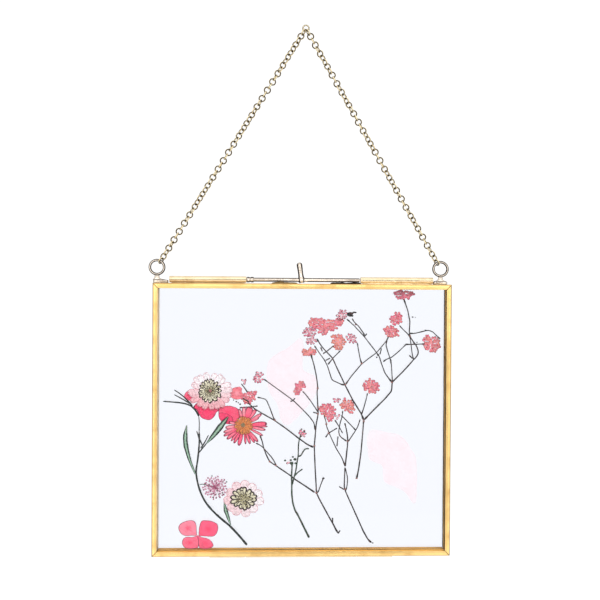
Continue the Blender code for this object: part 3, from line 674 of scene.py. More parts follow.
def veil_petal_finish():
    """A petal dried to a veil: nearly clear, a breath of pink, with fine veins from foot to tip."""
    finish = Finish("dried_veil_petal", {"Roughness": 0.6, "Specular IOR Level": 0.2})
    veins = finish.noise(finish.pulled(finish.pressed(), (0.5, 16.0, 0.4)), 2.0, 3.0, Distortion=0.3)
    vein = finish.remap(veins, 0.55, 0.75)
    colour = finish.blend(finish.math("MULTIPLY", vein, 0.4), "C09298", "B4808C")
    finish.put("Base Color", colour)
    normal = finish.bump(veins, 0.3, 0.00005)
    glow = finish.add("BsdfTranslucent", {"Color": colour, "Normal": normal})
    tissue = finish.mix(0.5, finish.shader, glow)
    clear = finish.add("BsdfTransparent", {"Color": "FFFFFF"})
    cloud = finish.noise(finish.place(), 130.0, 3.0)
    finish.mix(finish.remap(cloud, 0.3, 0.7, 0.86, 0.94), tissue, clear)
    return finish.mat


def leaf_finish():
    """A green leaf dried under glass: a pale rib down its middle, a dark edge, a browned tip."""
    finish = Finish("dried_green_leaf", {"Roughness": 0.6, "Specular IOR Level": 0.25})
    along, across, tone = finish.split(finish.pressed())
    mottle = finish.noise(finish.place(), 1300.0, 4.0)
    colour = finish.blend(finish.remap(mottle, 0.35, 0.65), "3E6A50", colours().leaf)
    wide = finish.math("ABSOLUTE", across)
    colour = finish.blend(finish.remap(wide, 0.0, 0.35, 0.8, 0.0), colour, "BAD2BC")
    brown = finish.math("MULTIPLY", finish.remap(along, 0.8, 0.98), tone)
    colour = finish.blend(brown, colour, "8A7466")
    colour = finish.blend(finish.remap(wide, 0.36, 0.56), colour, "0A1612")
    finish.put("Base Color", colour)
    finish.bump(mottle, 0.3, 0.00006)
    finish.mix(0.12, finish.shader, finish.add("BsdfTranslucent", {"Color": colour}))
    return finish.mat


# ---- Stage ----

# What the lights are aimed at, the lens as its focal length in the photo's pixels, and where the
# camera stands, in metres, with its turn in radians.
MIDDLE = (0, 0, -0.19)
LENS_PIXELS = 780.0
PICTURE_PIXELS = 600.0
SENSOR_MM = 36.0
CAMERA_PLACE = (-0.0144, -0.3944, -0.1344)
CAMERA_YAW, CAMERA_PITCH, CAMERA_ROLL = 0.031, 0.0097, 0.0061

# The paper sweep, in metres: its floor's height, its radius, its bend's radius and its wall's top.
SWEEP_FLOOR, SWEEP_REACH, SWEEP_BEND, SWEEP_HIGH = -0.62, 1.6, 0.5, 2.4

# The tent's greys against how much a direction faces front, up or down: 0.1 is straight behind,
# 0.5 is to a side and 0.9 is straight in front.
TENT = [(0.0, "F0ECE8"), (0.24, "E2DEDA"), (0.34, "837D77"), (0.5, "6E6862"), (0.6, "837D77"),
        (0.72, "F4F2F0"), (1.0, "FFFFFF")]

# The black card's left, right, low and high edges, and how far in front it stands, in metres.
CARD_LEFT, CARD_RIGHT, CARD_LOW, CARD_HIGH, CARD_Y = -0.28, 0.36, -0.69, -0.10, -1.2

# Soft boxes, in metres: place, size, radiance and whether reflections show them.
LIGHTS = {
    "left_strip": ((-0.50, -1.2, -0.40), (0.40, 0.9), 1.3, True),
    "right_strip": ((0.58, -1.2, -0.40), (0.40, 0.9), 1.0, True),
    "top_strip": ((0.04, -1.2, 0.12), (1.3, 0.40), 1.5, True),
    "low_strip": ((0.04, -1.2, -0.88), (1.1, 0.34), 0.8, True),
    "front_fill": ((0.0, -1.15, -0.19), (2.2, 1.8), 2.1, False),
    "high_fill": ((0.0, -0.95, 0.85), (1.8, 0.8), 5.5, False),
    "back_light": ((0.1, 1.2, -0.1), (2.4, 2.2), 2.0, False),
}


def aim(yaw, pitch, roll):
    """A camera's turn: forward along +Y turned by yaw and tipped down by pitch, then rolled."""
    forward = Vector((math.sin(yaw) * math.cos(pitch), math.cos(yaw) * math.cos(pitch), -math.sin(pitch)))
    level = Vector((math.cos(yaw), -math.sin(yaw), 0))
    upright = level.cross(forward)
    right = math.cos(roll) * level + math.sin(roll) * upright
    up = -math.sin(roll) * level + math.cos(roll) * upright
    return Matrix((right, up, -forward)).transposed().to_4x4()


def soft_light(name, place, size, radiance, reflected):
    """A soft box of a given brightness, aimed at the frame's middle."""
    data = bpy.data.lights.new(name, "AREA")
    data.shape = "RECTANGLE"
    data.size, data.size_y = size
    data.energy = radiance * math.pi * size[0] * size[1]
    lamp = bpy.data.objects.new(name, data)
    bpy.context.scene.collection.objects.link(lamp)
    lamp.location = place
    lamp.rotation_euler = (Vector(MIDDLE) - Vector(place)).to_track_quat("-Z", "Y").to_euler()
    lamp.visible_camera = lamp.visible_transmission = False
    lamp.visible_glossy = reflected


def backdrop(name, points, faces, finish):
    """An object of the stage, in metres, that casts no shadow and throws no light on the part."""
    mesh = bpy.data.meshes.new(name)
    mesh.from_pydata(points, [], faces)
    mesh.shade_smooth()
    mesh.materials.append(finish)
    made = bpy.data.objects.new(name, mesh)
    bpy.context.scene.collection.objects.link(made)
    made.visible_diffuse = made.visible_shadow = False
    return made


def paper_sweep():
    """A white floor that sweeps up all round: a turned profile, flat, then a quarter round."""
    sides = 96
    bend = np.linspace(0, np.pi / 2, 14)
    turned = SWEEP_REACH - SWEEP_BEND + SWEEP_BEND * np.sin(bend)
    radius = np.concatenate([[0.02, 0.5], turned, [SWEEP_REACH]])
    height = np.concatenate([[0, 0], SWEEP_BEND - SWEEP_BEND * np.cos(bend), [SWEEP_HIGH]]) + SWEEP_FLOOR
    turn = circle(sides)
    rows = skin(grid(radius[:, None] * np.cos(turn), radius[:, None] * np.sin(turn), height[:, None]))
    quads = rows["corners"][:4 * int((rows["counts"] == 4).sum())].reshape(-1, 4)
    white = Finish("white_paper_sweep", {
        "Base Color": "1A1A1A", "Roughness": 0.9, "Specular IOR Level": 0.0,
        "Emission Color": "FFFFFF", "Emission Strength": 1.045})
    backdrop("floor_sweep", rows["points"].tolist(), quads.tolist(), white.mat).visible_glossy = False


def paper_tent():
    """A tent of white paper that is open at both sides: round wires get darker flanks from it."""
    world = bpy.data.worlds.new("paper_tent")
    bpy.context.scene.world = world
    world.use_nodes = True
    nodes = Nodes(world.node_tree)
    way = nodes.split(nodes.add("TexCoord").outputs["Generated"])
    front = nodes.math("SUBTRACT", 0.5, nodes.math("MULTIPLY", way[1], 0.4))
    upright = nodes.math("MULTIPLY", nodes.math("ABSOLUTE", way[2]), 0.6)
    tent = nodes.add("ValToRGB", {0: nodes.math("ADD", front, upright)})
    spots = tent.color_ramp.elements
    while len(spots) < len(TENT):
        spots.new(0.5)
    for spot, (position, code) in zip(spots, TENT):
        spot.position = position
        spot.color = linear(code)
    nodes.fill(world.node_tree.nodes["Background"].inputs["Color"], tent)


def black_card():
    """The black card that the camera looks past, which keeps the glass clear."""
    black = Finish("black_paper", {"Base Color": "101010", "Roughness": 1.0, "Specular IOR Level": 0.0})
    corners = [(CARD_LEFT, CARD_Y, CARD_LOW), (CARD_RIGHT, CARD_Y, CARD_LOW),
               (CARD_RIGHT, CARD_Y, CARD_HIGH), (CARD_LEFT, CARD_Y, CARD_HIGH)]
    card = backdrop("black_card", corners, [(3, 2, 1, 0)], black.mat)
    card.visible_camera = card.visible_transmission = False


def place_camera():
    """The camera that took the photograph, as its frame's corners and its chain give it."""
    camera = bpy.data.cameras.new("camera")
    camera.sensor_width = SENSOR_MM
    camera.lens = SENSOR_MM * LENS_PIXELS / PICTURE_PIXELS
    camera.clip_start = 0.01
    view = bpy.data.objects.new("camera", camera)
    scene = bpy.context.scene
    scene.collection.objects.link(view)
    view.matrix_world = Matrix.Translation(CAMERA_PLACE) @ aim(CAMERA_YAW, CAMERA_PITCH, CAMERA_ROLL)
    scene.camera = view
    scene.view_settings.view_transform = "Standard"


class PRESSEDFRAME_OT_stage(bpy.types.Operator):
    """Sets up the pale floor that sweeps up all round, the soft light and the camera"""

    bl_idname = "pressed_frame.stage"
    bl_label = "Stage"

    def execute(self, context):
        """Builds the paper round the frame, then the lights and the camera."""
        paper_sweep()
        paper_tent()
        black_card()
        for name, light in LIGHTS.items():
            soft_light(name, *light)
        place_camera()
        return {"FINISHED"}


# ---- Metal and glass ----

class PRESSEDFRAME_OT_panes(bpy.types.Operator):
    """Gives the two panes their glass"""

    bl_idname = "pressed_frame.panes"
    bl_label = "Glass panes"

    def execute(self, context):
        """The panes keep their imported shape. They cast no shadow, as thin clear glass hardly does."""
        glass = float_glass()
        for name in ("front_pane", "back_pane"):
            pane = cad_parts[name]
            pane.data.materials.clear()
            pane.data.materials.append(glass)
            pane.visible_shadow = False
        return {"FINISHED"}


def channel_section(sheet, bend):
    """A folded strip's section as (y, z) points: the strip's middle line, offset to both sides.

    The middle line runs down the front flange, round two quarter folds and up the back flange.
    """
    face, deep = CHANNEL_FACE, HALF_DEPTH
    middle_r = bend - sheet / 2
    quarter = np.linspace(0, np.pi / 2, 7)
    fold = bend - middle_r * np.cos(quarter), bend - middle_r * np.sin(quarter)
    rise = deep - bend + middle_r * np.sin(quarter)
    line = np.concatenate([[[sheet / 2, face], [sheet / 2, (face + bend) / 2]],
                           np.stack(fold, -1), np.stack([rise, fold[0]], -1),
                           [[deep - sheet / 2, (face + bend) / 2], [deep - sheet / 2, face]]])
    side = -left_of(line) * sheet / 2
    outer, inner = line + side, line - side
    lip = np.array([[0.0, sheet * 0.12]])
    tips = [(outer[:1] + inner[:1]) / 2 + lip, (outer[-1:] + inner[-1:]) / 2 + lip]
    outer[0, 1] -= sheet * 0.1
    outer[-1, 1] -= sheet * 0.1
    return np.concatenate([tips[0], outer, tips[1], inner[::-1]])


def channel(length, seed, turn, centre, front_lip_shade, back_lip_shade):
    """A channel along X: its section drawn out between 45 degree ends, wavering a little.

    A point at height z of the section lies t (length/2 - gap - z) along, with t from -1 to 1.
    The last two arguments set painted shade along the front and the back flanges' lips. The inner faces
    take slot 1.
    """
    size = sizes()
    rng = np.random.default_rng(seed)
    section = channel_section(size.sheet, size.bend)
    half = len(section) // 2
    gap, end_step, rows = 0.12, 0.6, 88
    steps = np.linspace(-1 + end_step / length, 1 - end_step / length, rows)
    t = np.concatenate([[-1], steps, [1]])[:, None]
    mitre = (np.abs(t) == 1) * 0.9
    y, z = section[:, 0][None], section[:, 1][None]
    x = t * (length / 2 - gap - z)
    still = np.clip((1 - np.abs(t)) * length / 12, 0, 1)
    free = np.clip(z / CHANNEL_FACE, 0, 1)
    y = y + size.waver * still * wander(x, rng) * free * np.sign(HALF_DEPTH / 2 - y)
    z = z + size.waver * still * wander(x + 40, rng) * free
    around = np.concatenate([[0], np.cumsum(np.hypot(*np.diff(section, axis=0).T))])
    c, s = math.cos(turn), math.sin(turn)
    # Painted shade along the flanges' lips, darkest at the edge.
    lips = np.zeros(len(section))
    lips[0] = front_lip_shade
    lips[half:half + 2] = back_lip_shade, back_lip_shade * 0.3
    pressed = grid(x + 37 * seed, around[None], np.maximum(lips[None], mitre))
    made = skin(grid(x * c + z * s, y, -x * s + z * c) + np.array(centre), pressed)
    strips = (len(t) - 1) * len(section)
    made["slots"][:strips] = np.tile(np.arange(len(section)) > half, len(t) - 1)
    return made


def solder_and_shadow_run(start, end, y, z, rise, spread, seed, tone=0.0):
    """A low mound along X whose height and width waver: solder under a tube, and dark under the bolt's rod
    as painted shadow.
    """
    rng = np.random.default_rng(seed)
    t = np.linspace(0, 1, 60)[:, None]
    x = start + (end - start) * t
    fade = np.sqrt(np.clip(1 - (2 * t - 1) ** 8, 0.03, 1))
    high = rise * fade * (1 + 0.25 * wander(x, rng, 4, 14.0))
    wide = spread * fade * (1 + 0.2 * wander(x + 9, rng, 4, 17.0))
    a = circle(12)[None, :]
    return skin(grid(x, y + wide * np.cos(a), z + high * np.sin(a)), grid(x, a / 6.3, tone))


# Dark mounds under the bolt's rod, painted shadow of the rod: where each run starts and ends, its seed and
# its tone.
ROD_SHADOW_RUNS = [(-15.7, -2.8, 11, 0.9), (13.7, 29.2, 12, 1.0)]


class PRESSEDFRAME_OT_channels(bpy.types.Operator):
    """Builds the eight folded brass channels that hold the panes"""

    bl_idname = "pressed_frame.channels"
    bl_label = "Brass channels"

    def execute(self, context):
        """Four mitred channels to a half: bottom, left, top and right."""
        brass = polished_brass()
        insides = {side: channel_inside(side) for side in PAINTED_INSIDES}
        right, half_h, quarter = FRAME_W / 2, FRAME_H / 2, math.pi / 2
        sides = {"bottom": (FRAME_W, 0, 0, 0.0), "left": (FRAME_H, -right, half_h, quarter),
                 "top": (FRAME_W, 0, FRAME_H, math.pi), "right": (FRAME_H, right, half_h, -quarter)}
        seed = 1
        for half, start_y in (("front", 0.0), ("back", BACK_Y)):
            for side, (length, x, z, turn) in sides.items():
                node = f"{half}_channel_{side}"
                # Painted shade along the lips; the back lip's shows only on the back half.
                front_lip_shade, back_lip_shade = PAINTED_INSIDES[side][4:]
                shapes = [channel(length, seed, turn, (x, start_y, z), front_lip_shade,
                                  back_lip_shade * (half == "back"))]
                # The dark mounds under the rod are painted shadow.
                if node == "front_channel_top":
                    shapes += [solder_and_shadow_run(start, end, 1.6, FRAME_H, 0.8, 0.5, run_seed, tone)
                               for start, end, run_seed, tone in ROD_SHADOW_RUNS]
                piece(node + "_strip", shapes, [brass, insides[side]], half + "_frame", node)
                seed += 1
        return {"FINISHED"}


# The bolt's radii: its rod, its collar's ridges, the grooves between them and its pin's foot.
ROD, COLLAR, NECK, PIN_FOOT = 1.0, 1.4, 1.12, 1.6
PIN_X, PIN_LEAN = -0.7, math.radians(8.0)


def bolt_shaft(start, end, collar_at, centre):
    """The bolt's rod, turned with a collar of two ridges."""
    profile = [(start, ROD * 0.7), (start + 0.25, ROD), (collar_at - 0.05, ROD), (collar_at, COLLAR - 0.15)]
    at = collar_at
    for _ in range(2):
        profile += [(at + 0.15, COLLAR), (at + 1.2, COLLAR), (at + 1.35, COLLAR - 0.12),
                    (at + 1.42, NECK), (at + 1.9, NECK), (at + 1.98, COLLAR - 0.12)]
        at += 2.0
    profile[-2:] = [(at - 0.5, ROD + 0.05), (at - 0.3, ROD)]
    profile += [(end - 0.4, ROD), (end - 0.1, ROD * 0.86), (end, ROD * 0.6)]
    return lathe(profile, "x", centre)


def finger_pin(tip, centre):
    """The finger pin: a slim waist on a foot swollen by e^-(rise^2), a round tip, and a lean."""
    cap = 1.25
    rise = np.concatenate([np.linspace(-1.45, 1.6, 7), np.linspace(2.0, tip - 1.4, 8),
                           tip - cap + cap * np.sin(np.linspace(0.1, 1.45, 7))])
    slim = 1.36 - 0.06 * np.sin((rise - 1.5) * 0.8)
    round_off = np.sqrt(np.clip(1 - ((rise - (tip - cap)) / 1.27) ** 2, 0.02, 1))
    radius = np.where(rise > tip - cap, slim * round_off, slim)
    radius = radius + (PIN_FOOT - 1.28) * np.exp(-(rise / 1.2) ** 2)
    radius[0] *= 0.8
    pin = lathe(np.stack([rise, radius], -1), "z", (0, 0, 0), sides=28)
    x, y, z = pin["points"].T
    c, s = math.cos(PIN_LEAN), math.sin(PIN_LEAN)
    pin["points"] = np.stack([x * c - z * s, y, x * s + z * c], -1) + np.array(centre)
    return pin


class PRESSEDFRAME_OT_latch(bpy.types.Operator):
    """Builds the guide tube, the keeper tube and the sliding bolt with its finger pin"""

    bl_idname = "pressed_frame.latch"
    bl_label = "Latch"

    def execute(self, context):
        """Turned and drawn parts along the top, and the solder that holds the tubes."""
        brass, tinned = washed_brass(), tinned_brass()
        for node, body, side, seam in (("guide_tube", "back_frame", 1, (-6, 2)),
                                       ("keeper_tube", "front_frame", -1, (4, -3))):
            start, end, outer, centre = bar_of(node)
            tube = pipe(start, end, outer, centre, seam=seam)
            run = solder_and_shadow_run(start + 0.6, end - 0.6, centre[1] + side * 0.85, FRAME_H + 0.12, 0.42, 0.55,
                             20 + side)
            piece(node + "_rolled", [tube, run], [brass], body, node)

        low, high = on_bench("bolt")
        collar_at = bar_of("guide_tube")[1] + 0.3
        axis_y, axis_z = bar_of("keeper_tube")[3][1:]
        shaft = bolt_shaft(low[0], high[0], collar_at, (0, axis_y, axis_z))
        pin = finger_pin(high[2] - axis_z, (PIN_X, axis_y, axis_z))
        blob = buds([(PIN_X + 2.0, axis_z - 0.35)], 1.3, 3.2, axis_y - 0.35, tone=0.0, thick=1.5)
        piece("bolt_turned", [shaft, pin, blob], [tinned], "bolt", "bolt")
        return {"FINISHED"}


# Levels of a ring's foot: share of the way up, half width, half depth, how far the section has
# slid to the ring, and how dark it is painted: the dark rims at its base and round the neck are
# painted shade.
FOOT_LEVELS = np.array([
    (0.00, 0.96, 0.94, 0, 0.85), (0.10, 1.0, 1.0, 0, 0), (0.34, 1.0, 1.0, 0, 0),
    (0.42, 0.97, 0.96, 0.1, 0.85), (0.50, 0.80, 0.80, 0.5, 0.85), (0.62, 0.50, 0.62, 0.9, 0),
    (0.78, 0.34, 0.48, 1, 0), (0.92, 0.32, 0.42, 1, 0), (1.06, 0.34, 0.36, 1, 0),
    (1.16, 0.26, 0.25, 1, 0)])


def ring_foot(node, ring_centre):
    """A rounded plate that rises into a solder neck round the ring's wire.

    Its section is a rounded box: cos and sin, each raised to a power from 0.45 to 0.75.
    """
    low, high = on_bench(node)
    mid_x, mid_y = (low[0] + high[0]) / 2, (low[1] + high[1]) / 2
    half_w, half_d = (high[0] - low[0]) / 2, (high[1] - low[1]) / 2
    a = circle(40)[None, :]
    up, wide, deep, slide, darkening = (FOOT_LEVELS[:, k, None] for k in range(5))
    power = 0.45 + 0.5 * np.clip(up - 0.3, 0, 0.6)
    across = np.sign(np.cos(a)) * np.abs(np.cos(a)) ** power
    through = np.sign(np.sin(a)) * np.abs(np.sin(a)) ** power
    x = mid_x + slide * (ring_centre[0] - mid_x) + half_w * wide * across
    y = mid_y + (ring_centre[1] - mid_y) * slide * 0.8 + half_d * deep * through
    z = low[2] - 0.28 + up * (high[2] - low[2] + 0.3)
    # The dark rims from the levels' last column are painted shade.
    return skin(grid(x, y, z), grid(a * 3, up * 3, darkening))


class PRESSEDFRAME_OT_rings(bpy.types.Operator):
    """Builds the two hanging rings and the feet that they are soldered on"""

    bl_idname = "pressed_frame.rings"
    bl_label = "Rings and feet"

    def execute(self, context):
        """A ring and its foot at each side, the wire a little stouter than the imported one."""
        tinned = tinned_brass()
        for side in ("left", "right"):
            ring, foot = "ring_" + side, "ring_foot_" + side
            centre, radius, wire = ring_of(*on_bench(ring), stouter=1.05)
            piece(ring + "_wire", [wire_ring(centre, radius, wire, flat=0.012)], [tinned], "back_frame",
                  ring)
            piece(foot + "_soldered", [ring_foot(foot, centre)], [tinned], "back_frame", foot,
                  smooth=55)
        return {"FINISHED"}


class PRESSEDFRAME_OT_hinge(bpy.types.Operator):
    """Builds the hinge under the bottom edge: three rolled knuckles on one wire"""

    bl_idname = "pressed_frame.hinge"
    bl_label = "Hinge"

    def execute(self, context):
        """Tubes on their packed axis, each with a run of solder to its own half."""
        brass, tinned = washed_brass(), tinned_brass()
        for name, body, side in (("front", "front_frame", -1), ("left", "back_frame", 1),
                                 ("right", "back_frame", 1)):
            node = "hinge_knuckle_" + name
            start, end, outer, centre = bar_of(node)
            tube = pipe(start, end, outer, centre, sides=28)
            run = solder_and_shadow_run(start + 0.5, end - 0.5, centre[1] + side * 0.75, 0.12, 0.3, 0.35, 30 + side)
            run["slots"] = run["slots"] + 1
            piece(node + "_rolled", [tube, run], [brass, tinned], body, node)
        start, end, radius, centre = bar_of("hinge_wire")
        chamfer, tip = 0.1, radius * 0.6
        profile = [(start, tip), (start + chamfer, radius), (end - chamfer, radius), (end, tip)]
        piece("hinge_wire_drawn", [lathe(profile, "x", centre, sides=16, darkening=0.0)], [brass],
              "back_frame", "hinge_wire")
        return {"FINISHED"}


# ---- Chain ----

TOP_LINK_STEP = 2.30
RING_LINK_STEP = 0.27
RUNS = {
    "left": {"links": 56, "start": math.radians(12), "twist": math.radians(5.2), "seed": 50},
    "right": {"links": 55, "start": math.radians(-6), "twist": math.radians(9.6), "seed": 51},
}


def chain_run(top, ring_centre, ring_radius, links, start, twist, seed):
    """Links along a straight line, each a ring turned a quarter and a little more than the last.

    Link k's plane holds the line and is rolled about it by 90 + start + k (90 + twist) degrees.
    """
    rng = np.random.default_rng(seed)
    size = sizes()
    reach = np.linalg.norm(ring_centre - top)
    along = (ring_centre - top) / reach
    last = reach - ring_radius - RING_LINK_STEP
    k = np.arange(links)
    at = TOP_LINK_STEP + (last - TOP_LINK_STEP) / (links - 1) * k
    quarter = math.pi / 2
    roll = quarter + start + k * (quarter + twist) + rng.normal(0, 0.05, len(k))
    beside = np.cross(along, np.array([0.0, 1.0, 0.0]))
    beside = beside / np.linalg.norm(beside)
    face = np.cross(beside, along)
    across = np.cos(roll)[:, None] * beside - np.sin(roll)[:, None] * face
    normal = np.cos(roll)[:, None] * face + np.sin(roll)[:, None] * beside
    a, b = circle(20)[:, None], circle(12)[None, :]
    out = size.link_radius + size.link_wire * np.cos(b)
    first, second, third = np.broadcast_arrays(out * np.cos(a), out * np.sin(a), size.link_wire * np.sin(b))
    centre = top + along * at[:, None]
    points = (centre[:, None, None] + first[None, ..., None] * along
              + second[None, ..., None] * across[:, None, None]
              + third[None, ..., None] * normal[:, None, None])
    # The links' wire is darkened at its flanks as painted shade.
    pressed = grid((a * 1.5 + 3)[None], (b / 6.3)[None] + (k * 0.37)[:, None, None],
                   painted_shading(np.sin(b), fade=0.3)[None])
    return skin(points, pressed, closed=True)


class PRESSEDFRAME_OT_chain(bpy.types.Operator):
    """Builds the link on the nail and the two runs of fine round links"""

    bl_idname = "pressed_frame.chain"
    bl_label = "Chain"

    def execute(self, context):
        """Each run goes straight from the top link to its ring, in world millimetres."""
        wire = plated_wire()
        top, radius, thick = ring_of(*in_world("chain_top_link"))
        link = wire_ring(top, radius, thick, around=32, across=12)
        piece("chain_top_link_wire", [link], [wire], "chain", "chain_top_link", bench=False)
        for side, run in RUNS.items():
            centre, radius, _ = ring_of(*in_world("ring_" + side))
            links = chain_run(top, centre, radius, **run)
            piece(f"chain_{side}_links", [links], [wire], "chain", "chain_" + side, bench=False)
        return {"FINISHED"}


# ---- Flowers ----

def pale_ray():
    """Blush rays, bleached to near white by drying, with speckled rose edges."""
    return dried_petal("dried_blush_ray", "FFFBFA", colours().blush, "C64E68", "FFF0EE", through=0.25,
                       rim_at=0.86, rim_share=0.7, veins=5.0, grain=0.9, spread=0.14)


def hot_petal():
    """Hot-pink petals that kept their colour, with a darker shrunken rim."""
    return dried_petal("dried_hot_pink_petal", "FFA4AE", colours().hot_pink, "7E1038", "FF3068",
                       rim_at=0.8, rim_soft=0.08, rim_share=0.95, veins=8.0, grain=1.2, through=0.15)


def coral_petal():
    """Coral petals with broad veins and a dark plum rim."""
    return dried_petal("dried_coral_petal", "FFA6B4", "FF4C78", "6E1A3C", "FF3A68", rim_at=0.82,
                       rim_soft=0.08, rim_share=0.9, veins=9.0, grain=1.6, through=0.15, spread=0.07)


def mauve_floret():
    """The umbel's tiny florets, dried to a dusky mauve."""
    return dried_petal("dried_mauve_floret", "E088A8", "8A2850", "421026", "7A2444", through=0.05,
                       grain=0.5, rim_share=0.5)


def eye_floret():
    """Disc florets dried to cream and olive, each with a thick dark brown edge."""
    return dried_petal("dried_disc_floret", "F4ECCC", "AAA074", "1E0A0A", "7C7248", through=0.0,
                       rim_at=0.8, rim_share=1.0, veins=2.0, grain=0.5, rim_soft=0.1)


def amber_eye():
    """Disc of a smaller daisy, dried to burnt orange, each floret with a brown edge."""
    return dried_petal("dried_amber_disc", "F09A54", "D06E2C", "6A2A18", "C87838", through=0.0,
                       grain=0.6, rim_at=0.7, rim_share=0.8)


def floret_finish():
    """Gypsophila florets, dyed and dried: rose with shrunken dark rims, some gone to salmon."""
    return dried_petal("dried_rose_floret", "F59A82", colours().floret, "8E1C3C", "FBB0BA", through=0.08,
                       rim_at=0.84, rim_soft=0.12, rim_share=0.95, veins=3.0, grain=0.9, spread=0.2)


def open_floret_finish():
    """Gypsophila florets that dried open: nearly white inside, with maroon rims."""
    return dried_petal("dried_open_floret", "FFD2D2", "FF7C98", "700C34", "FFC2C8", through=0.08,
                       rim_at=0.74, rim_soft=0.12, rim_share=1.0, veins=2.0, grain=0.9, spread=0.18)


def outlined(base, heading, length, width, depth, by=0.3, **more):
    """Petals, each over a slightly longer and wider one, whose dark rim shows round it."""
    length, width = np.broadcast_arrays(np.asarray(length, float), np.asarray(width, float))
    behind = np.asarray(depth, float) + 0.07
    back = petals(base, heading, length + by * 0.55, width + by, behind, **more)
    back["pressed"] = back["pressed"] * (1.25, 1.25, 1.0)
    return [back, petals(base, heading, length, width, depth, **more)]


def inside(outline, spots):
    """Which spots lie in a closed outline: a line to the right crosses it an odd number of times."""
    a = np.array(outline, float)
    b = np.roll(a, -1, axis=0)
    x, z = spots[:, 0, None], spots[:, 1, None]
    crosses = (a[None, :, 1] > z) != (b[None, :, 1] > z)
    slope = (b[:, 0] - a[:, 0]) / np.where(b[:, 1] == a[:, 1], 1e-9, b[:, 1] - a[:, 1])
    return (crosses & (x < a[None, :, 0] + (z - a[None, :, 1]) * slope)).sum(axis=1) % 2 == 1


def oval(centre, size, seed):
    """An uneven oval as 12 points."""
    rng = np.random.default_rng(seed)
    turn = np.arange(12) * np.pi / 6
    reach = 1 + rng.normal(0, 0.05, 12)
    return [(centre[0] + size[0] / 2 * r * math.cos(a), centre[1] + size[1] / 2 * r * math.sin(a))
            for a, r in zip(turn, reach)]


def head(outline, tone, depth, seed, spacing=1.25, length=1.55, width=1.2, by=0.34, slot=1):
    """A ruffled head: small notched petals on a jittered triangular grid inside its outline.

    Each petal points away from the head's middle, give or take 20 degrees, and lies nearer the
    front the nearer it is to the middle.
    """
    rng = np.random.default_rng(seed)
    edge = np.array(outline, float)
    centre = edge.mean(axis=0)
    low, high = edge.min(axis=0) - spacing, edge.max(axis=0) + spacing
    rows = np.arange(low[1], high[1], spacing * 0.87)
    spots = np.concatenate([grid(np.arange(low[0] + (k % 2) * spacing / 2, high[0], spacing), z)
                            for k, z in enumerate(rows)])
    spots = spots + rng.normal(0, 0.13 * spacing, spots.shape)
    away = spots - centre
    far = np.hypot(*away.T)
    kept = inside(outline, spots + away / far[:, None] * 0.25)
    spots, away, far = spots[kept], away[kept], far[kept]
    many = len(spots)
    turn = np.arctan2(away[:, 1], away[:, 0]) + rng.normal(0, 0.35, many)
    long = length * (0.8 + 0.35 * rng.random(many))
    base = spots - 0.55 * (long[:, None] * compass(turn))
    level = depth + 0.16 - 0.32 * (1 - far / far.max()) + rng.uniform(-0.05, 0.05, many)
    shade = np.clip(tone + rng.normal(0, 0.2, many), 0, 1)
    broad = width * (0.8 + 0.35 * rng.random(many))
    return outlined(base, turn, long, broad, level, by=by, root=0.5, widen=1.6, blunt=4.0, notch=0.24,
                    tone=shade, rows=6, cols=8, thick=0.1, slot=slot, seed=seed)


def sheet(outline, depth, seed, tone=0.5, thick=0.14, sway=0.04, slot=0, way=(0.0, 1.0), shares=12):
    """One broad petal: a smooth rim curve through its outline, drawn in towards the middle.

    The rim is a periodic cubic through the points. Row r lies share r of the way out from their
    middle, the front and the back meet at the rim, and the sheet sways a little in depth.
    """
    rng = np.random.default_rng(seed)
    points = np.array(outline, float)
    count, fine = len(points), 8
    t = np.arange(count * fine) / fine
    k = t.astype(int)
    f = (t - k)[:, None]
    p0, p1, p2, p3 = (points[(k + n) % count] for n in (-1, 0, 1, 2))
    rim = 0.5 * (2 * p1 + (p2 - p0) * f + (2 * p0 - 5 * p1 + 4 * p2 - p3) * f ** 2
                 + (3 * p1 - p0 - 3 * p2 + p3) * f ** 3)
    middle = points.mean(axis=0)
    round_trip = np.cumsum(np.hypot(*(rim - np.roll(rim, 1, axis=0)).T))
    rng.random()  # One draw is passed over, so that a seed keeps the shape it was chosen for.
    rim = middle + (rim - middle) * (1 + 0.012 * wander(round_trip, rng, 4, 12.0))[:, None]
    out = 1 - (1 - np.linspace(0.02, 1, shares)) ** 1.5
    share = np.concatenate([out, out[::-1]])
    face = np.concatenate([np.full(shares, -0.5), np.full(shares, 0.5)])
    half = thick * np.sqrt(np.clip(1 - share ** 5, 0, 1)) + 0.01
    place = middle + share[:, None, None] * (rim - middle)
    y = depth + sway * wander(place @ np.array([0.8, 0.6]), rng, 3, 14.0) + (half * face)[:, None]
    way = np.array(way, float) / np.hypot(*way)
    side = (place - middle) @ np.array([-way[1], way[0]])
    side = side / np.abs(side).max() * 0.7
    return skin(grid(place[..., 0], y, place[..., 1]), grid(share[:, None], side, tone), slot=slot)


def rays(centre, tips, foot, widths, tones, depth, seed, by=0.2, **more):
    """Ray petals from a circle about the eye out to each tip, with small differences in depth."""
    rng = np.random.default_rng(seed)
    away = np.array(tips, float) - centre
    many = len(away)
    turn = np.arctan2(away[:, 1], away[:, 0])
    base = centre + foot * compass(turn)
    level = depth + 0.05 * (np.arange(many) % 3 - 1) + rng.uniform(-0.02, 0.02, many)
    return outlined(base, turn, np.hypot(*away.T) - foot, np.broadcast_to(widths, many), level, by=by,
                    tone=np.broadcast_to(tones, many), seed=seed, **more)


def even_tips(centre, count, reach, seed, start):
    """Tips set evenly round an ellipse of two radii, each a little off its place."""
    rng = np.random.default_rng(seed)
    turn = start + (np.arange(count) + rng.normal(0, 0.15, count)) * 2 * np.pi / count
    far = 1 + rng.normal(0, 0.035, count)
    return np.array(centre) + np.array(reach) * far[:, None] * compass(turn)


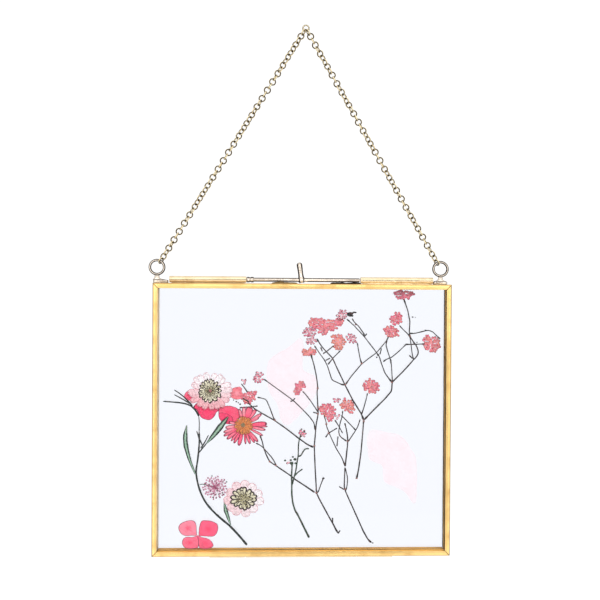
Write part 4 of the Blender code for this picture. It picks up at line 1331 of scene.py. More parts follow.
def disc_florets(centre, rings, depth, seed):
    """The eye: rounds of narrow florets.

    Each ring is (count, foot, tip, width, tone, depth step, outline).
    """
    shapes = []
    for number, (count, foot, tip, width, tone, step, by) in enumerate(rings):
        rng = np.random.default_rng(seed + number)
        turn = (np.arange(count) + 0.5 * (number % 2)) * 2 * np.pi / count + rng.normal(0, 0.05, count)
        base = np.array(centre) + foot * compass(turn)
        length = (tip - foot) * (1 + rng.normal(0, 0.07, count))
        heading = turn + rng.normal(0, 0.06, count)
        shade = np.clip(tone + rng.normal(0, 0.25, count), 0, 1)
        shapes += outlined(base, heading, length, width, depth + step, by=by, root=0.5, widen=1.5,
                           blunt=7.0, tone=shade, bend=rng.normal(0, 0.06, count), thick=0.12, slot=1,
                           seed=seed + number)
    return shapes


def disc_base(centre, across, high, depth, **more):
    """A broad thin round that the disc florets lie on."""
    return buds([centre], across, high, depth, rows=9, cols=24, thick=0.14, **more)


def upper_daisy(finishes, depth):
    """Nineteen pale rays, rosier at the lower left, round an eye of three rounds of florets."""
    centre = np.array((-46.4, 82.7))
    tips = even_tips(centre, 19, (11.1, 9.5), 61, 0.1)
    low_side = np.clip(0.5 - 0.5 * (tips[:, 1] - centre[1]) / 9.0, 0, 1)
    tones = np.clip(low_side * 1.25 - 0.15 - 0.12 * (tips[:, 0] - centre[0]) / 11, 0.0, 1)
    shapes = rays(centre, tips, 3.6, 3.3, tones, depth + 0.32, 62, by=0.16 + 0.34 * low_side, root=0.55,
                  blunt=5.0, notch=0.12, ripple=0.03, rows=12, cols=12, thick=0.08)
    rings = [(22, 2.2, 5.6, 0.76, 0.2, 0.0, 0.8), (22, 1.7, 4.3, 0.46, 0.1, -0.12, 0.46),
             (12, 0.8, 2.5, 0.5, 0.8, -0.22, 0.45)]
    shapes += disc_florets(centre, rings, depth, 63)
    shapes.append(disc_base(centre, 9.6, 9.4, depth + 0.14, slot=2))
    shapes.append(buds([centre + (0.1, 0.2)], 1.7, 1.5, depth - 0.3, tone=1.0, thick=0.2, slot=2))
    piece("daisy_upper_pressed", shapes, finishes, "back_frame", "daisy_upper")


# The lower daisy's dark star: the heading of each of its lobes in degrees, and how far it reaches.
STAR_LOBES = [(52, 5.9), (30, 6.0), (12, 6.8), (-4, 6.6), (-29, 6.1), (-56, 5.5), (-82, 5.7), (-108, 5.1),
              (-142, 5.7), (-165, 6.7), (172, 6.5), (145, 6.4), (121, 5.7), (101, 5.8), (84, 5.9)]


def lower_daisy(finishes, depth):
    """Eleven pale rays under a star of dark lobes and an eye of three rounds of florets."""
    centre = np.array((-29.3, 28.4))
    tips = even_tips(centre, 11, (10.0, 9.2), 71, 0.35)
    tones = np.clip(0.3 - 0.25 * (tips[:, 0] - centre[0]) / 10, 0.05, 0.9)
    shapes = rays(centre, tips, 3.4, 5.2, tones, depth + 0.32, 72, by=0.14, root=0.6, blunt=4.0,
                  notch=0.08, ripple=0.04, rows=12, cols=12, thick=0.08)
    lobes, far = np.array(STAR_LOBES).T
    ends = centre + (far - 0.25)[:, None] * compass(np.radians(lobes))
    shapes += rays(centre, ends, 2.0, 1.55, 0.3, depth, 73, by=0.95, root=0.45, blunt=6.0, rows=10,
                   cols=12, thick=0.12, slot=1)
    rings = [(11, 1.3, 4.3, 1.0, 0.6, -0.12, 0.7), (8, 0.5, 2.8, 0.9, 0.9, -0.22, 0.6),
             (5, 0.1, 1.5, 0.8, 0.8, -0.3, 0.4)]
    shapes += disc_florets(centre, rings, depth, 74)
    shapes.append(disc_base(centre, 9.4, 9.0, depth + 0.14, slot=2))
    piece("daisy_lower_pressed", shapes, finishes, "back_frame", "daisy_lower")


# The middle daisy's rays: the place of each tip, its width and its tone.
HOT_RAYS = [
    (-29.3, 74.7, 1.9, 0.0), (-26.1, 74.6, 4.1, 0.7), (-23.3, 73.4, 2.0, 0.5), (-20.6, 71.2, 1.7, 0.3),
    (-17.9, 66.3, 2.6, 0.8), (-18.6, 63.2, 1.5, 0.3), (-19.9, 60.4, 1.1, 0.3), (-22.3, 57.3, 1.7, 0.5),
    (-24.0, 56.8, 1.2, 0.7), (-26.2, 56.3, 1.4, 0.6), (-28.4, 56.2, 0.9, 0.7), (-31.8, 55.4, 2.0, 0.75),
    (-34.2, 56.6, 1.4, 0.7), (-35.6, 57.7, 1.0, 0.6), (-37.7, 58.6, 1.8, 0.55), (-39.3, 60.2, 1.5, 0.6),
    (-39.4, 62.0, 1.5, 0.2), (-38.4, 64.3, 1.7, 0.0), (-36.6, 67.0, 1.4, 0.2), (-31.6, 73.6, 1.5, 0.2),
    (-17.6, 64.9, 0.9, 0.5), (-21.9, 69.2, 0.9, 0.4)]


def middle_daisy(finishes, depth):
    """Narrow hot-pink rays of many widths round an amber eye with an olive spot."""
    centre = np.array((-29.4, 65.4))
    x, z, widths, tones = np.array(HOT_RAYS).T
    shapes = rays(centre, grid(x, z), 3.5, widths, tones, depth + 0.32, 82, by=0.56, root=0.5, blunt=4.0,
                  notch=0.1, rows=12, thick=0.08)
    rings = [(24, 3.0, 4.55, 0.55, 0.3, 0.0, 0.42), (22, 1.6, 3.7, 0.75, 0.4, -0.12, 0.12),
             (14, 0.6, 2.4, 0.7, 0.6, -0.2, 0.12)]
    shapes += disc_florets(centre, rings, depth, 83)
    shapes.append(disc_base(centre, 7.9, 7.9, depth + 0.12, tone=0.3, slot=1))
    shapes.append(buds([centre + (-0.4, 0.3)], 2.3, 2.2, depth - 0.24, thick=0.16, cols=14, slot=2))
    piece("daisy_middle_pressed", shapes, finishes, "back_frame", "daisy_middle")


class PRESSEDFRAME_OT_daisies(bpy.types.Operator):
    """Builds the three daisy heads"""

    bl_idname = "pressed_frame.daisies"
    bl_label = "Daisies"

    def execute(self, context):
        """Rays in two rounds under an eye of disc florets, on a dark receptacle."""
        depth = LAYER["high"] + 0.05
        pale = [pale_ray(), eye_floret(), dried_stalk("dried_receptacle", "3E2418", "1E0E0A")]
        upper_daisy(pale, depth)
        lower_daisy(pale, depth)
        hot = [hot_petal(), amber_eye(), dried_stalk("dried_olive_spot", "9A865E", "6E6046")]
        middle_daisy(hot, depth)
        return {"FINISHED"}


# Outlines of single petals, as (x, z) points, each with its tone and the way that its veins run.
LOOSE_PETALS = {
    "left": ([(-56.0, 83.3), (-57.9, 82.6), (-59.2, 81.0), (-59.5, 79.4), (-58.6, 78.2), (-56.5, 77.8),
              (-54.0, 78.6), (-53.5, 81.5)], 0.8, (-1, 0.2)),
    "bottom": ([(-54.6, 74.9), (-53.0, 72.9), (-51.9, 70.7), (-50.5, 69.0), (-48.6, 68.2), (-46.9, 68.0),
                (-45.2, 68.8), (-44.0, 70.2), (-43.2, 71.8), (-42.0, 73.2), (-43.5, 76.2), (-46.5, 78.5),
                (-51.0, 78.0)], 1.0, (0, -1)),
    "right": ([(-43.3, 77.0), (-41.9, 76.5), (-40.2, 75.0), (-37.4, 75.2), (-35.0, 74.9), (-32.7, 73.9),
               (-31.2, 72.4), (-30.9, 70.4), (-32.4, 67.6), (-35.0, 66.1), (-37.8, 66.2), (-40.4, 67.2),
               (-41.8, 69.4), (-42.1, 71.8), (-42.4, 74.2)], 0.85, (1, -0.3)),
}
# A darker fold that lies on the right one.
PETAL_FOLD = [(-41.9, 71.5), (-39.0, 71.6), (-36.2, 70.4), (-34.8, 68.4), (-35.4, 66.2), (-37.8, 66.0),
              (-40.4, 67.1), (-41.9, 69.2)]

# The coral floret's petals: outline, tone, step in depth and the way of the veins.
CORAL_PARTS = [
    ([(-52.8, 9.8), (-52.85, 12.5), (-52.9, 15.0), (-53.6, 16.7), (-54.9, 17.5), (-57.5, 17.3),
      (-60.0, 16.4), (-61.6, 15.0), (-61.9, 13.2), (-61.1, 11.5), (-60.0, 10.3), (-58.0, 9.7),
      (-55.2, 9.8)], 0.35, 0.0, (-1, 0.6)),
    ([(-51.6, 9.8), (-51.65, 12.5), (-51.3, 15.0), (-50.8, 16.4), (-49.6, 17.4), (-46.0, 17.3),
      (-43.3, 16.3), (-42.2, 15.0), (-42.0, 13.2), (-42.5, 11.4), (-43.4, 10.0), (-44.8, 9.3),
      (-47.0, 9.3), (-49.5, 9.5)], 0.85, 0.0, (1, 0.6)),
    ([(-52.2, 9.3), (-55.0, 9.0), (-57.5, 9.1), (-59.3, 8.4), (-60.1, 6.6), (-59.7, 4.8), (-58.5, 3.6),
      (-56.0, 3.1), (-53.5, 3.3), (-51.8, 4.2)], 0.65, 0.12, (-1, -0.6)),
    ([(-52.2, 9.2), (-50.0, 8.9), (-47.5, 8.3), (-45.9, 7.4), (-44.8, 6.0), (-44.3, 4.6), (-45.5, 3.5),
      (-48.0, 3.0), (-50.3, 3.2), (-51.5, 4.0)], 0.8, 0.16, (1, -0.6)),
]

# The veil petals: outline and the way of the veins.
VEILS = {
    "left": ([(-7.5, 104.5), (-0.5, 109.5), (0.5, 102.5), (0.5, 93.5), (7.0, 89.5), (6.5, 80.5),
              (0.0, 72.0), (-6.0, 66.0), (-10.5, 67.5), (-12.5, 76.0), (-16.5, 82.0), (-18.0, 93.5),
              (-15.0, 100.0)], (0.1, 1)),
    "right": ([(34.0, 62.0), (42.5, 62.0), (51.0, 59.5), (56.0, 52.5), (58.5, 46.5), (58.5, 29.0),
               (57.0, 25.5), (52.5, 31.5), (47.5, 34.0), (42.0, 37.0), (41.0, 44.5), (37.5, 46.5),
               (34.0, 49.5)], (1, -1.4)),
}


class PRESSEDFRAME_OT_petals(bpy.types.Operator):
    """Builds the loose petals, the four-petalled floret and the two veil petals"""

    bl_idname = "pressed_frame.petals"
    bl_label = "Petals"

    def execute(self, context):
        """Single broad petals, each drawn in from its own outline."""
        hot, low, mid = hot_petal(), LAYER["low"], LAYER["mid"]
        for number, (name, (outline, tone, way)) in enumerate(LOOSE_PETALS.items()):
            node = "magenta_petal_" + name
            shapes = [sheet(outline, low, 91 + number, tone=tone, way=way, shares=16)]
            if name == "right":
                shapes.append(sheet(PETAL_FOLD, low - 0.14, 95, tone=1.0, way=way))
            piece(node + "_pressed", shapes, [hot], "back_frame", node)

        coral = coral_petal()
        shapes = [sheet(outline, mid + step, 101 + n, tone=tone, way=way, shares=18)
                  for n, (outline, tone, step, way) in enumerate(CORAL_PARTS)]
        shapes.append(buds([(-52.2, 9.5)], 1.2, 1.0, mid - 0.08, thick=0.24, tone=1.0))
        piece("coral_floret_pressed", shapes, [coral], "back_frame", "coral_floret")

        veil = veil_petal_finish()
        for name, (outline, way) in VEILS.items():
            node = "veil_petal_" + name
            tissue = sheet(outline, LAYER["veil"], 98, thick=0.07, sway=0.03, way=way, shares=16)
            piece(node + "_pressed", [tissue], [veil], "back_frame", node)
        return {"FINISHED"}


# The umbel: its middle, its two radii and how many florets it has, a golden angle apart.
UMBEL_MIDDLE, UMBEL_REACH, UMBEL_FLORETS = np.array((-43.7, 34.0)), np.array((6.2, 5.9)), 74
GOLDEN_ANGLE = 2.39996
UMBEL_SPECKS = [(-45.3, 39.8), (-37.9, 36.8), (-48.9, 35.4), (-42.6, 32.4), (-39.9, 31.2), (-40.1, 32.9),
                (-43.4, 30.3), (-41.9, 30.6), (-44.7, 28.9)]
UMBEL_STEM = [(-51.4, 35.5), (-49.4, 35.6), (-46.5, 34.8), (-43.7, 34.0)]


class PRESSEDFRAME_OT_umbel(bpy.types.Operator):
    """Builds the small mauve umbel, a head of many tiny florets"""

    bl_idname = "pressed_frame.umbel"
    bl_label = "Lace umbel"

    def execute(self, context):
        """Florets spread like sunflower seeds over an ellipse, five petals to each."""
        rng = np.random.default_rng(101)
        count, low = UMBEL_FLORETS, LAYER["low"]
        number = np.arange(count)
        reach = np.sqrt((number + 0.5) / count)
        spots = UMBEL_MIDDLE + UMBEL_REACH * reach[:, None] * compass(number * GOLDEN_ANGLE)
        spots = spots + rng.normal(0, 0.2, spots.shape)
        base = np.repeat(spots, 5, axis=0)
        heading = (np.arange(5)[None] * 2 * np.pi / 5 + rng.uniform(0, 6, (count, 1))).ravel()
        tone = np.repeat(np.clip(rng.normal(0.6, 0.4, count), 0, 1), 5)
        length = 0.46 + 0.16 * rng.random(count * 5)
        florets = petals(base, heading, length, 0.42, low - 0.1, tone=tone, rows=5, cols=6, thick=0.14,
                         seed=102)
        away = spots - UMBEL_MIDDLE
        ribs = petals(np.broadcast_to(UMBEL_MIDDLE, spots.shape), np.arctan2(away[:, 1], away[:, 0]),
                      np.hypot(*away.T), 0.15, low + 0.1, root=0.9, blunt=8.0, tone=0.15, rows=5, cols=6,
                      thick=0.1, seed=103)
        grains = buds(UMBEL_SPECKS, 0.7, 0.8, low - 0.15, tone=0.2, thick=0.25, slot=1)
        stem = stalk(UMBEL_STEM, 0.5, 0.4, low + 0.15, slot=1)
        finishes = [mauve_floret(), dried_stalk("dried_umbel_stalk", "6E7A70", "3A443E")]
        piece("lace_umbel_pressed", [florets, ribs, grains, stem], finishes, "back_frame", "lace_umbel")
        return {"FINISHED"}


def leaf(points, widths, depth, seed, tone=0.5):
    """A narrow leaf: a folded blade carried along a path, its half width interpolated along it."""
    rng = np.random.default_rng(seed)
    path, at = rounded(points, soft=4.0, step=0.5)
    share = at / at[-1]
    half = np.interp(share, np.linspace(0, 1, len(widths)), widths) / 2
    half = half * (1 + 0.05 * wander(at, rng, 4, 6.0))
    s = circle(16)
    v, h = np.cos(s), np.sin(s)
    y = depth - 0.10 * (1 - np.abs(v)) + 0.09 * h + 0.04 * wander(at, rng, 3, 12.0)[:, None]
    return skin(carried(path, half[:, None] * v, y), grid(share[:, None], v[None], tone), slot=1)


# The leafy stalk's parts: each one's path, its widths at foot and tip, its softness and its seed.
LEAFY_TRUNK = [(-27.5, 5.0), (-31.5, 9.8), (-36.0, 14.6), (-40.2, 18.0), (-44.0, 21.4), (-48.0, 25.9),
               (-50.4, 30.2), (-52.1, 35.0), (-53.1, 40.0), (-53.3, 42.5), (-52.5, 47.5), (-52.0, 52.0),
               (-51.6, 57.5), (-51.8, 62.0), (-51.7, 66.8), (-52.0, 70.0), (-53.0, 72.2), (-54.6, 74.2),
               (-57.0, 75.9), (-61.0, 76.8), (-66.0, 77.2), (-69.9, 77.5)]
LEAFY_RUNS = [(LEAFY_TRUNK[:14], 1.15, 0.8, 6.0, 111), (LEAFY_TRUNK[13:16], 0.5, 0.4, 1.6, 109),
              (LEAFY_TRUNK[15:], 0.95, 0.6, 6.0, 110)]
LEAFY_SHOOTS = [
    [(-55.2, 75.2), (-57.0, 77.3), (-60.5, 80.7), (-64.4, 83.3)],
    [(-56.0, 76.2), (-60.3, 78.7), (-64.4, 80.9)],
    [(-51.6, 58.2), (-52.0, 59.5), (-53.0, 62.6)],
    [(-51.9, 51.6), (-49.5, 54.5), (-47.6, 56.9)],
    [(-50.9, 53.9), (-48.8, 57.0), (-47.1, 60.5)],
    [(-51.6, 58.6), (-50.4, 56.0), (-49.9, 54.8)]]

# Its leaves: path, widths along it and tone.
LEAVES = [
    ([(-53.6, 41.0), (-56.0, 46.6), (-57.4, 51.0), (-58.6, 56.0), (-58.8, 60.5), (-58.0, 65.4)],
     [0.8, 1.3, 1.9, 2.4, 2.3, 0.5], 0.3),
    ([(-47.9, 56.5), (-45.2, 59.6), (-43.2, 62.0), (-41.2, 64.6), (-39.4, 67.0), (-37.3, 69.7)],
     [0.7, 1.9, 2.7, 3.0, 2.5, 0.8], 1.0),
    ([(-35.7, 15.0), (-37.2, 19.5), (-38.4, 23.0), (-39.0, 26.5)], [0.5, 1.6, 2.1, 0.5], 0.2)]


class PRESSEDFRAME_OT_leafy_stalk(bpy.types.Operator):
    """Builds the long green stalk with its three leaves and forked top"""

    bl_idname = "pressed_frame.leafy_stalk"
    bl_label = "Leafy stalk"

    def execute(self, context):
        """One curved stalk, its side shoots and three leaves, all at one layer."""
        stem, green = dried_stalk("dried_green_stalk", "26342E", "080D0B"), leaf_finish()
        depth = LAYER["mid"]
        shapes = [stalk(path, wide, narrow, depth, soft=soft, seed=seed)
                  for path, wide, narrow, soft, seed in LEAFY_RUNS]
        shapes += [stalk(shoot, 0.75, 0.5, depth, soft=3.0, seed=112 + n)
                   for n, shoot in enumerate(LEAFY_SHOOTS)]
        shapes += [leaf(path, widths, depth - 0.02, 120 + n, tone)
                   for n, (path, widths, tone) in enumerate(LEAVES)]
        piece("leafy_stalk_pressed", shapes, [stem, green], "back_frame", "leafy_stalk")
        return {"FINISHED"}


# Heads of kind 2 dried open: their petals are narrower and darker edged.
HEAD_LOOKS = {1: {}, 2: {"spacing": 1.3, "length": 1.4, "width": 0.9, "by": 0.4}}


def spray(name, layer, seed, trunk, twigs=(), heads=(), grains=(), forks=(), petal=None, width=0.58,
          light=None, slot="dark_stalk"):
    """A gypsophila limb: its trunk, its twigs and the heads that grow on them, as one piece.

    A head is (outline, tone, kind), where kind 1 is full and kind 2 has dried open. A grain is a
    small bud, (x, z, size, tone), and a fork, (x, z), has a swelling. petal is one petal's outline.
    """
    depth = LAYER[layer]
    shapes = [stalk(trunk, width * 1.3, width * 1.0, depth, seed=seed, knots=(0.02, 0.98))]
    for number, twig in enumerate(twigs):
        shapes.append(stalk(twig, width, width * 0.8, depth - 0.02 * (number % 3),
                            seed=seed + 1 + number, knots=(0.03, 0.97)))
    for number, (outline, tone, kind) in enumerate(heads):
        shapes += head(outline, tone, depth - 0.05, seed + 40 + number, slot=kind, **HEAD_LOOKS[kind])
    if grains:
        x, z, across, tones = np.array(grains).T
        shapes.append(buds(grid(x, z), across * 0.8, across, depth, tone=tones, thick=0.4))
    if forks:
        shapes.append(buds(forks, 1.0, 1.2, depth - 0.05, tone=1.0, thick=0.6))
    if petal:
        shapes.append(sheet(petal, depth - 0.02, 395, tone=0.75, slot=1, way=(-1, 0.6), shares=14))
    stem = dried_stalk("dried_dark_stalk", light or colours().stalk, "140E0D")
    piece(name + "_pressed", shapes, [stem, floret_finish(), open_floret_finish()], "back_frame", name)


# The dark sprig and the gypsophila's limbs, as spray takes them, in (x, z) points.
SPRIG = {
    "layer": "high", "seed": 200, "width": 0.75, "light": "3E5A42",
    "trunk": [(3.9, 8.8), (2.5, 11.5), (-2.0, 20.5), (-3.3, 22.5), (-4.5, 26.5), (-5.0, 31.0),
              (-5.0, 37.0), (-5.2, 39.5), (-5.0, 43.0), (-4.9, 47.0)],
    "twigs": [[(-4.9, 35.5), (-4.1, 38.5), (-3.0, 42.5), (-2.4, 47.0), (-1.8, 50.5), (-1.8, 55.0),
               (-1.4, 58.5), (-0.4, 61.0)], [(-3.6, 40.2), (-1.8, 42.0), (0.4, 43.5)],
              [(-1.8, 49.9), (-0.5, 50.2), (0.6, 52.3), (1.6, 53.8), (3.6, 53.8)]],
    "heads": [(oval((0.5, 61.2), (4.2, 3.8), 201), 0.5, 2),
              (oval((-6.9, 46.8), (2.8, 2.6), 202), 0.3, 2)],
    "grains": [(-8.5, 47.8, 1.2, 0.2), (-5.2, 46.4, 2.0, 0.2), (-4.6, 49.6, 1.1, 0.2),
               (-3.5, 48.4, 1.7, 0.3), (-3.3, 46.4, 1.2, 0.3), (-5.6, 48.0, 1.2, 0.2),
               (1.2, 62.4, 1.0, 0.4), (-0.3, 63.6, 1.0, 0.8)],
}
LIMBS = {
    "left_stalk": {
        "layer": "low", "seed": 300,
        "trunk": [(18.9, 10.4), (17.7, 12.1), (16.0, 15.5), (14.7, 17.6), (9.0, 28.0), (7.5, 31.2),
                  (7.4, 34.0), (6.9, 42.0), (6.5, 50.0), (6.3, 55.0), (6.8, 61.0), (7.2, 66.0),
                  (7.9, 69.5), (8.2, 72.0), (7.9, 76.0), (7.5, 82.5), (7.9, 84.5), (7.5, 88.0),
                  (7.0, 91.0), (5.9, 96.0), (4.5, 100.6), (4.2, 102.0)],
        "twigs": [[(6.7, 63.0), (6.1, 66.6), (4.0, 69.5), (0.0, 73.7), (-3.8, 77.3), (-5.2, 78.5),
                   (-11.0, 82.7), (-19.5, 88.8)], [(-5.9, 77.5), (-4.6, 77.8), (-3.6, 79.2)],
                  [(8.2, 72.0), (6.5, 74.5), (4.5, 77.5), (1.3, 81.6), (0.2, 82.6)],
                  [(8.0, 31.2), (8.6, 32.0), (9.8, 35.5), (10.9, 38.3)], [(5.6, 72.0), (7.9, 71.4)],
                  [(15.8, 18.4), (15.9, 15.9)], [(18.7, 10.6), (19.7, 12.0)]],
        "heads": [([(-0.3, 102.6), (0.8, 104.0), (3.0, 104.7), (5.4, 104.6), (6.8, 103.4),
                   (7.3, 101.8), (6.4, 100.4), (4.5, 100.9), (2.6, 100.3), (0.6, 100.8)], 0.12, 1),
                  ([(-25.0, 88.6), (-23.4, 90.6), (-22.9, 92.4), (-20.8, 92.8), (-19.3, 91.2),
                   (-19.6, 89.0), (-20.4, 87.0), (-22.2, 86.4), (-23.8, 87.0)], 0.7, 2),
                  ([(-4.3, 81.4), (-4.1, 84.5), (-3.1, 86.6), (-1.5, 88.0), (0.4, 88.2),
                   (1.7, 86.6), (1.4, 84.6), (0.6, 83.4), (-0.9, 82.4), (-1.9, 81.0),
                   (-3.2, 80.6)], 0.75, 1)],
        "grains": [(11.0, 38.5, 1.3, 0.5)],
        "forks": [(6.3, 55.0), (7.4, 31.2), (8.0, 74.6), (8.0, 71.2), (7.8, 84.2)],
    },
    "left_low_branch": {
        "layer": "low", "seed": 350,
        "trunk": [(6.6, 31.4), (2.0, 34.5), (-3.7, 38.2), (-5.5, 39.8), (-12.6, 44.6),
                  (-15.5, 46.5), (-16.5, 47.5), (-17.8, 50.0), (-19.2, 53.5), (-20.0, 57.0),
                  (-21.2, 60.3)],
        "twigs": [[(-13.0, 44.9), (-13.8, 47.0), (-15.5, 49.5), (-17.8, 52.0), (-19.6, 54.2),
                   (-21.5, 55.6), (-23.2, 56.3)]],
        "forks": [(-13.2, 45.2), (-16.2, 47.0)],
    },
    "left_long_branch": {
        "layer": "mid", "seed": 400, "slot": "blush_floret",
        "trunk": [(5.8, 54.4), (3.0, 55.6), (-1.5, 58.8), (-8.0, 63.8), (-14.0, 68.0),
                  (-20.0, 71.4), (-24.0, 73.8), (-27.5, 77.0)],
        "twigs": [[(-13.8, 68.0), (-14.4, 69.2), (-16.0, 73.5), (-18.0, 78.2), (-19.5, 79.0),
                   (-22.6, 79.6)], [(-27.6, 82.2), (-29.0, 84.2), (-30.7, 86.4)],
                  [(-27.0, 77.5), (-30.0, 79.0)], [(-31.5, 74.3), (-27.5, 74.7), (-22.4, 75.2)]],
        "heads": [([(-31.3, 78.4), (-30.9, 80.0), (-30.4, 81.6), (-28.9, 81.7), (-27.5, 82.0),
                   (-26.2, 83.3), (-24.3, 83.1), (-23.2, 82.3), (-23.5, 80.6), (-23.2, 79.4),
                   (-24.4, 77.5), (-26.0, 76.5), (-28.3, 75.8), (-29.9, 77.1)], 0.7, 1),
                  (oval((-29.1, 87.5), (3.2, 3.2), 402), 0.4, 2)],
        "grains": [(-33.2, 77.4, 0.9, 0.4), (-31.3, 76.1, 1.0, 0.4), (-32.2, 76.8, 0.7, 0.4),
                   (-34.6, 78.2, 0.7, 0.4)],
        "forks": [(-13.9, 68.2)],
        "petal": [(-35.9, 82.4), (-35.1, 84.0), (-33.2, 84.7), (-31.6, 84.9), (-30.4, 84.0),
                  (-30.5, 82.4), (-29.8, 81.0), (-30.0, 79.2), (-31.8, 78.6), (-33.6, 78.5),
                  (-35.6, 79.4), (-36.2, 80.8)],
    },
    "middle_stalk": {
        "layer": "low", "seed": 450,
        "trunk": [(35.6, 5.8), (34.0, 7.2), (31.5, 11.5), (27.0, 21.5), (22.3, 31.8), (21.6, 34.0),
                  (21.8, 40.0), (22.0, 44.0)],
        "twigs": [[(22.2, 32.2), (22.9, 33.6), (23.3, 37.0), (23.2, 39.5), (22.1, 43.6)],
                  [(21.6, 32.8), (19.0, 34.3)]],
        "grains": [(36.3, 5.6, 0.9, 0.5)],
        "forks": [(35.0, 6.2), (22.0, 33.0)],
    },
    "middle_branches": {
        "layer": "low", "seed": 500, "slot": "blush_floret",
        "trunk": [(22.0, 44.6), (22.3, 47.0), (23.2, 55.5), (23.2, 58.5), (23.1, 60.0),
                  (22.6, 63.0), (21.7, 66.6)],
        "twigs": [[(21.9, 45.0), (20.3, 49.0), (17.5, 53.5), (14.3, 60.2), (13.4, 62.6),
                   (12.3, 65.2), (12.3, 66.8), (11.2, 70.4)],
                  [(23.3, 57.2), (24.2, 58.2), (27.2, 62.8), (28.2, 64.5), (29.5, 68.4)],
                  [(27.2, 63.0), (21.2, 69.2), (19.8, 70.4)],
                  [(22.6, 57.4), (19.2, 59.8), (18.6, 62.0), (19.2, 66.0), (20.4, 70.0),
                   (20.6, 72.8)], [(13.4, 61.4), (17.8, 64.0)], [(12.0, 59.3), (13.4, 61.3)],
                  [(16.7, 68.0), (18.8, 64.8), (20.6, 61.4)], [(17.8, 54.8), (18.3, 59.8)]],
        "heads": [([(8.4, 74.0), (9.0, 75.9), (11.0, 76.6), (14.2, 76.2), (16.3, 75.2),
                   (17.2, 73.3), (17.3, 71.5), (16.9, 69.5), (16.0, 68.0), (15.0, 67.1),
                   (13.7, 67.1), (12.5, 68.1), (11.7, 69.6), (10.5, 70.9), (8.7, 71.8)], 0.75, 1),
                  ([(19.2, 75.0), (19.6, 77.0), (20.2, 78.7), (22.0, 79.2), (24.0, 78.8),
                   (25.7, 77.8), (26.6, 75.5), (27.1, 72.8), (26.3, 71.3), (24.0, 71.7),
                   (22.1, 72.6), (20.2, 73.4)], 0.25, 1),
                  (oval((17.6, 78.0), (4.0, 3.0), 503), 0.6, 2),
                  (oval((18.1, 69.6), (3.0, 3.0), 504), 0.2, 2)],
        "forks": [(23.2, 57.4), (13.5, 61.4), (12.3, 66.0)],
    },
    "right_stalk": {
        "layer": "mid", "seed": 550,
        "trunk": [(27.9, 38.8), (28.8, 43.0), (30.0, 52.0), (30.8, 62.0), (31.2, 67.8)],
        "forks": [(27.8, 38.7), (31.2, 67.6)],
    },
    "right_left_limb": {
        "layer": "mid", "seed": 600, "slot": "blush_floret",
        "trunk": [(31.1, 68.3), (30.2, 71.0), (25.5, 78.5), (21.7, 85.8), (17.0, 95.6),
                  (15.2, 99.6), (12.2, 102.6), (9.5, 105.6), (7.2, 109.3)],
        "twigs": [[(30.2, 71.3), (31.2, 74.2), (32.5, 79.0), (33.1, 81.8)],
                  [(21.6, 86.1), (20.3, 86.0), (15.0, 88.4), (12.8, 95.2), (11.4, 98.2),
                   (9.0, 101.4), (6.0, 105.8)],
                  [(21.9, 86.2), (22.6, 87.2), (24.5, 90.0), (29.8, 96.4), (33.8, 99.6),
                   (37.5, 102.3), (42.8, 108.7), (43.6, 110.6)],
                  [(30.0, 97.0), (29.3, 98.8), (28.2, 104.4), (27.8, 107.2)],
                  [(13.0, 96.3), (15.4, 99.5), (19.2, 103.3)],
                  [(10.4, 101.7), (12.4, 103.0), (15.8, 105.8)], [(11.9, 98.4), (14.0, 99.5)],
                  [(9.2, 104.9), (10.1, 102.9)],
                  [(42.8, 108.6), (42.2, 106.5), (43.2, 103.0), (44.4, 99.6), (45.0, 96.6)],
                  [(41.0, 97.8), (42.5, 99.0), (44.0, 99.5), (45.2, 100.0), (48.8, 103.0),
                   (52.5, 106.6)], [(52.7, 106.6), (56.0, 106.6), (61.8, 106.9)]],
        "heads": [([(30.5, 86.0), (31.2, 88.0), (33.2, 89.2), (35.8, 88.9), (38.0, 87.6),
                   (39.4, 85.4), (38.9, 83.2), (36.8, 81.8), (34.0, 81.4), (31.8, 82.6),
                   (30.7, 84.2)], 0.6, 1),
                  ([(0.1, 113.4), (1.2, 114.8), (3.8, 115.7), (6.4, 114.6), (7.0, 112.8),
                   (6.4, 110.8), (4.0, 110.0), (1.6, 110.2), (0.3, 111.6)], 0.7, 2),
                  ([(1.4, 108.6), (2.4, 110.2), (4.6, 110.5), (6.6, 109.8), (7.1, 108.0),
                   (6.2, 106.4), (4.0, 105.9), (2.2, 106.6)], 0.4, 2),
                  ([(40.7, 114.0), (41.7, 115.7), (43.5, 116.2), (46.0, 115.9), (47.8, 115.0),
                   (49.0, 113.0), (49.0, 111.2), (47.8, 110.1), (45.5, 110.3), (43.2, 110.7),
                   (41.4, 112.2)], 0.65, 1), (oval((24.9, 109.4), (6.2, 5.0), 604), 0.55, 2),
                  ([(14.4, 110.4), (15.5, 112.0), (17.6, 112.2), (19.6, 111.0), (21.1, 109.4),
                   (21.8, 107.4), (21.4, 105.2), (20.7, 103.5), (18.8, 103.4), (16.5, 104.2),
                   (15.2, 106.0), (14.7, 108.4)], 0.08, 1),
                  ([(2.8, 117.5), (3.8, 119.5), (5.5, 120.2), (8.0, 120.0), (10.5, 119.4),
                   (13.5, 119.1), (15.5, 119.0), (17.5, 119.4), (20.0, 119.8), (21.2, 119.0),
                   (20.9, 117.0), (20.0, 115.8), (18.3, 114.8), (16.2, 113.8), (13.6, 112.9),
                   (12.7, 111.7), (11.8, 110.7), (9.5, 111.2), (8.1, 112.0), (7.6, 113.7),
                   (5.5, 114.9), (3.4, 116.0)], 0.6, 1),
                  ([(61.0, 109.0), (61.7, 110.8), (63.5, 111.2), (66.0, 111.0), (68.1, 110.7),
                   (69.4, 109.6), (69.9, 107.5), (69.7, 105.2), (68.9, 103.1), (67.5, 102.3),
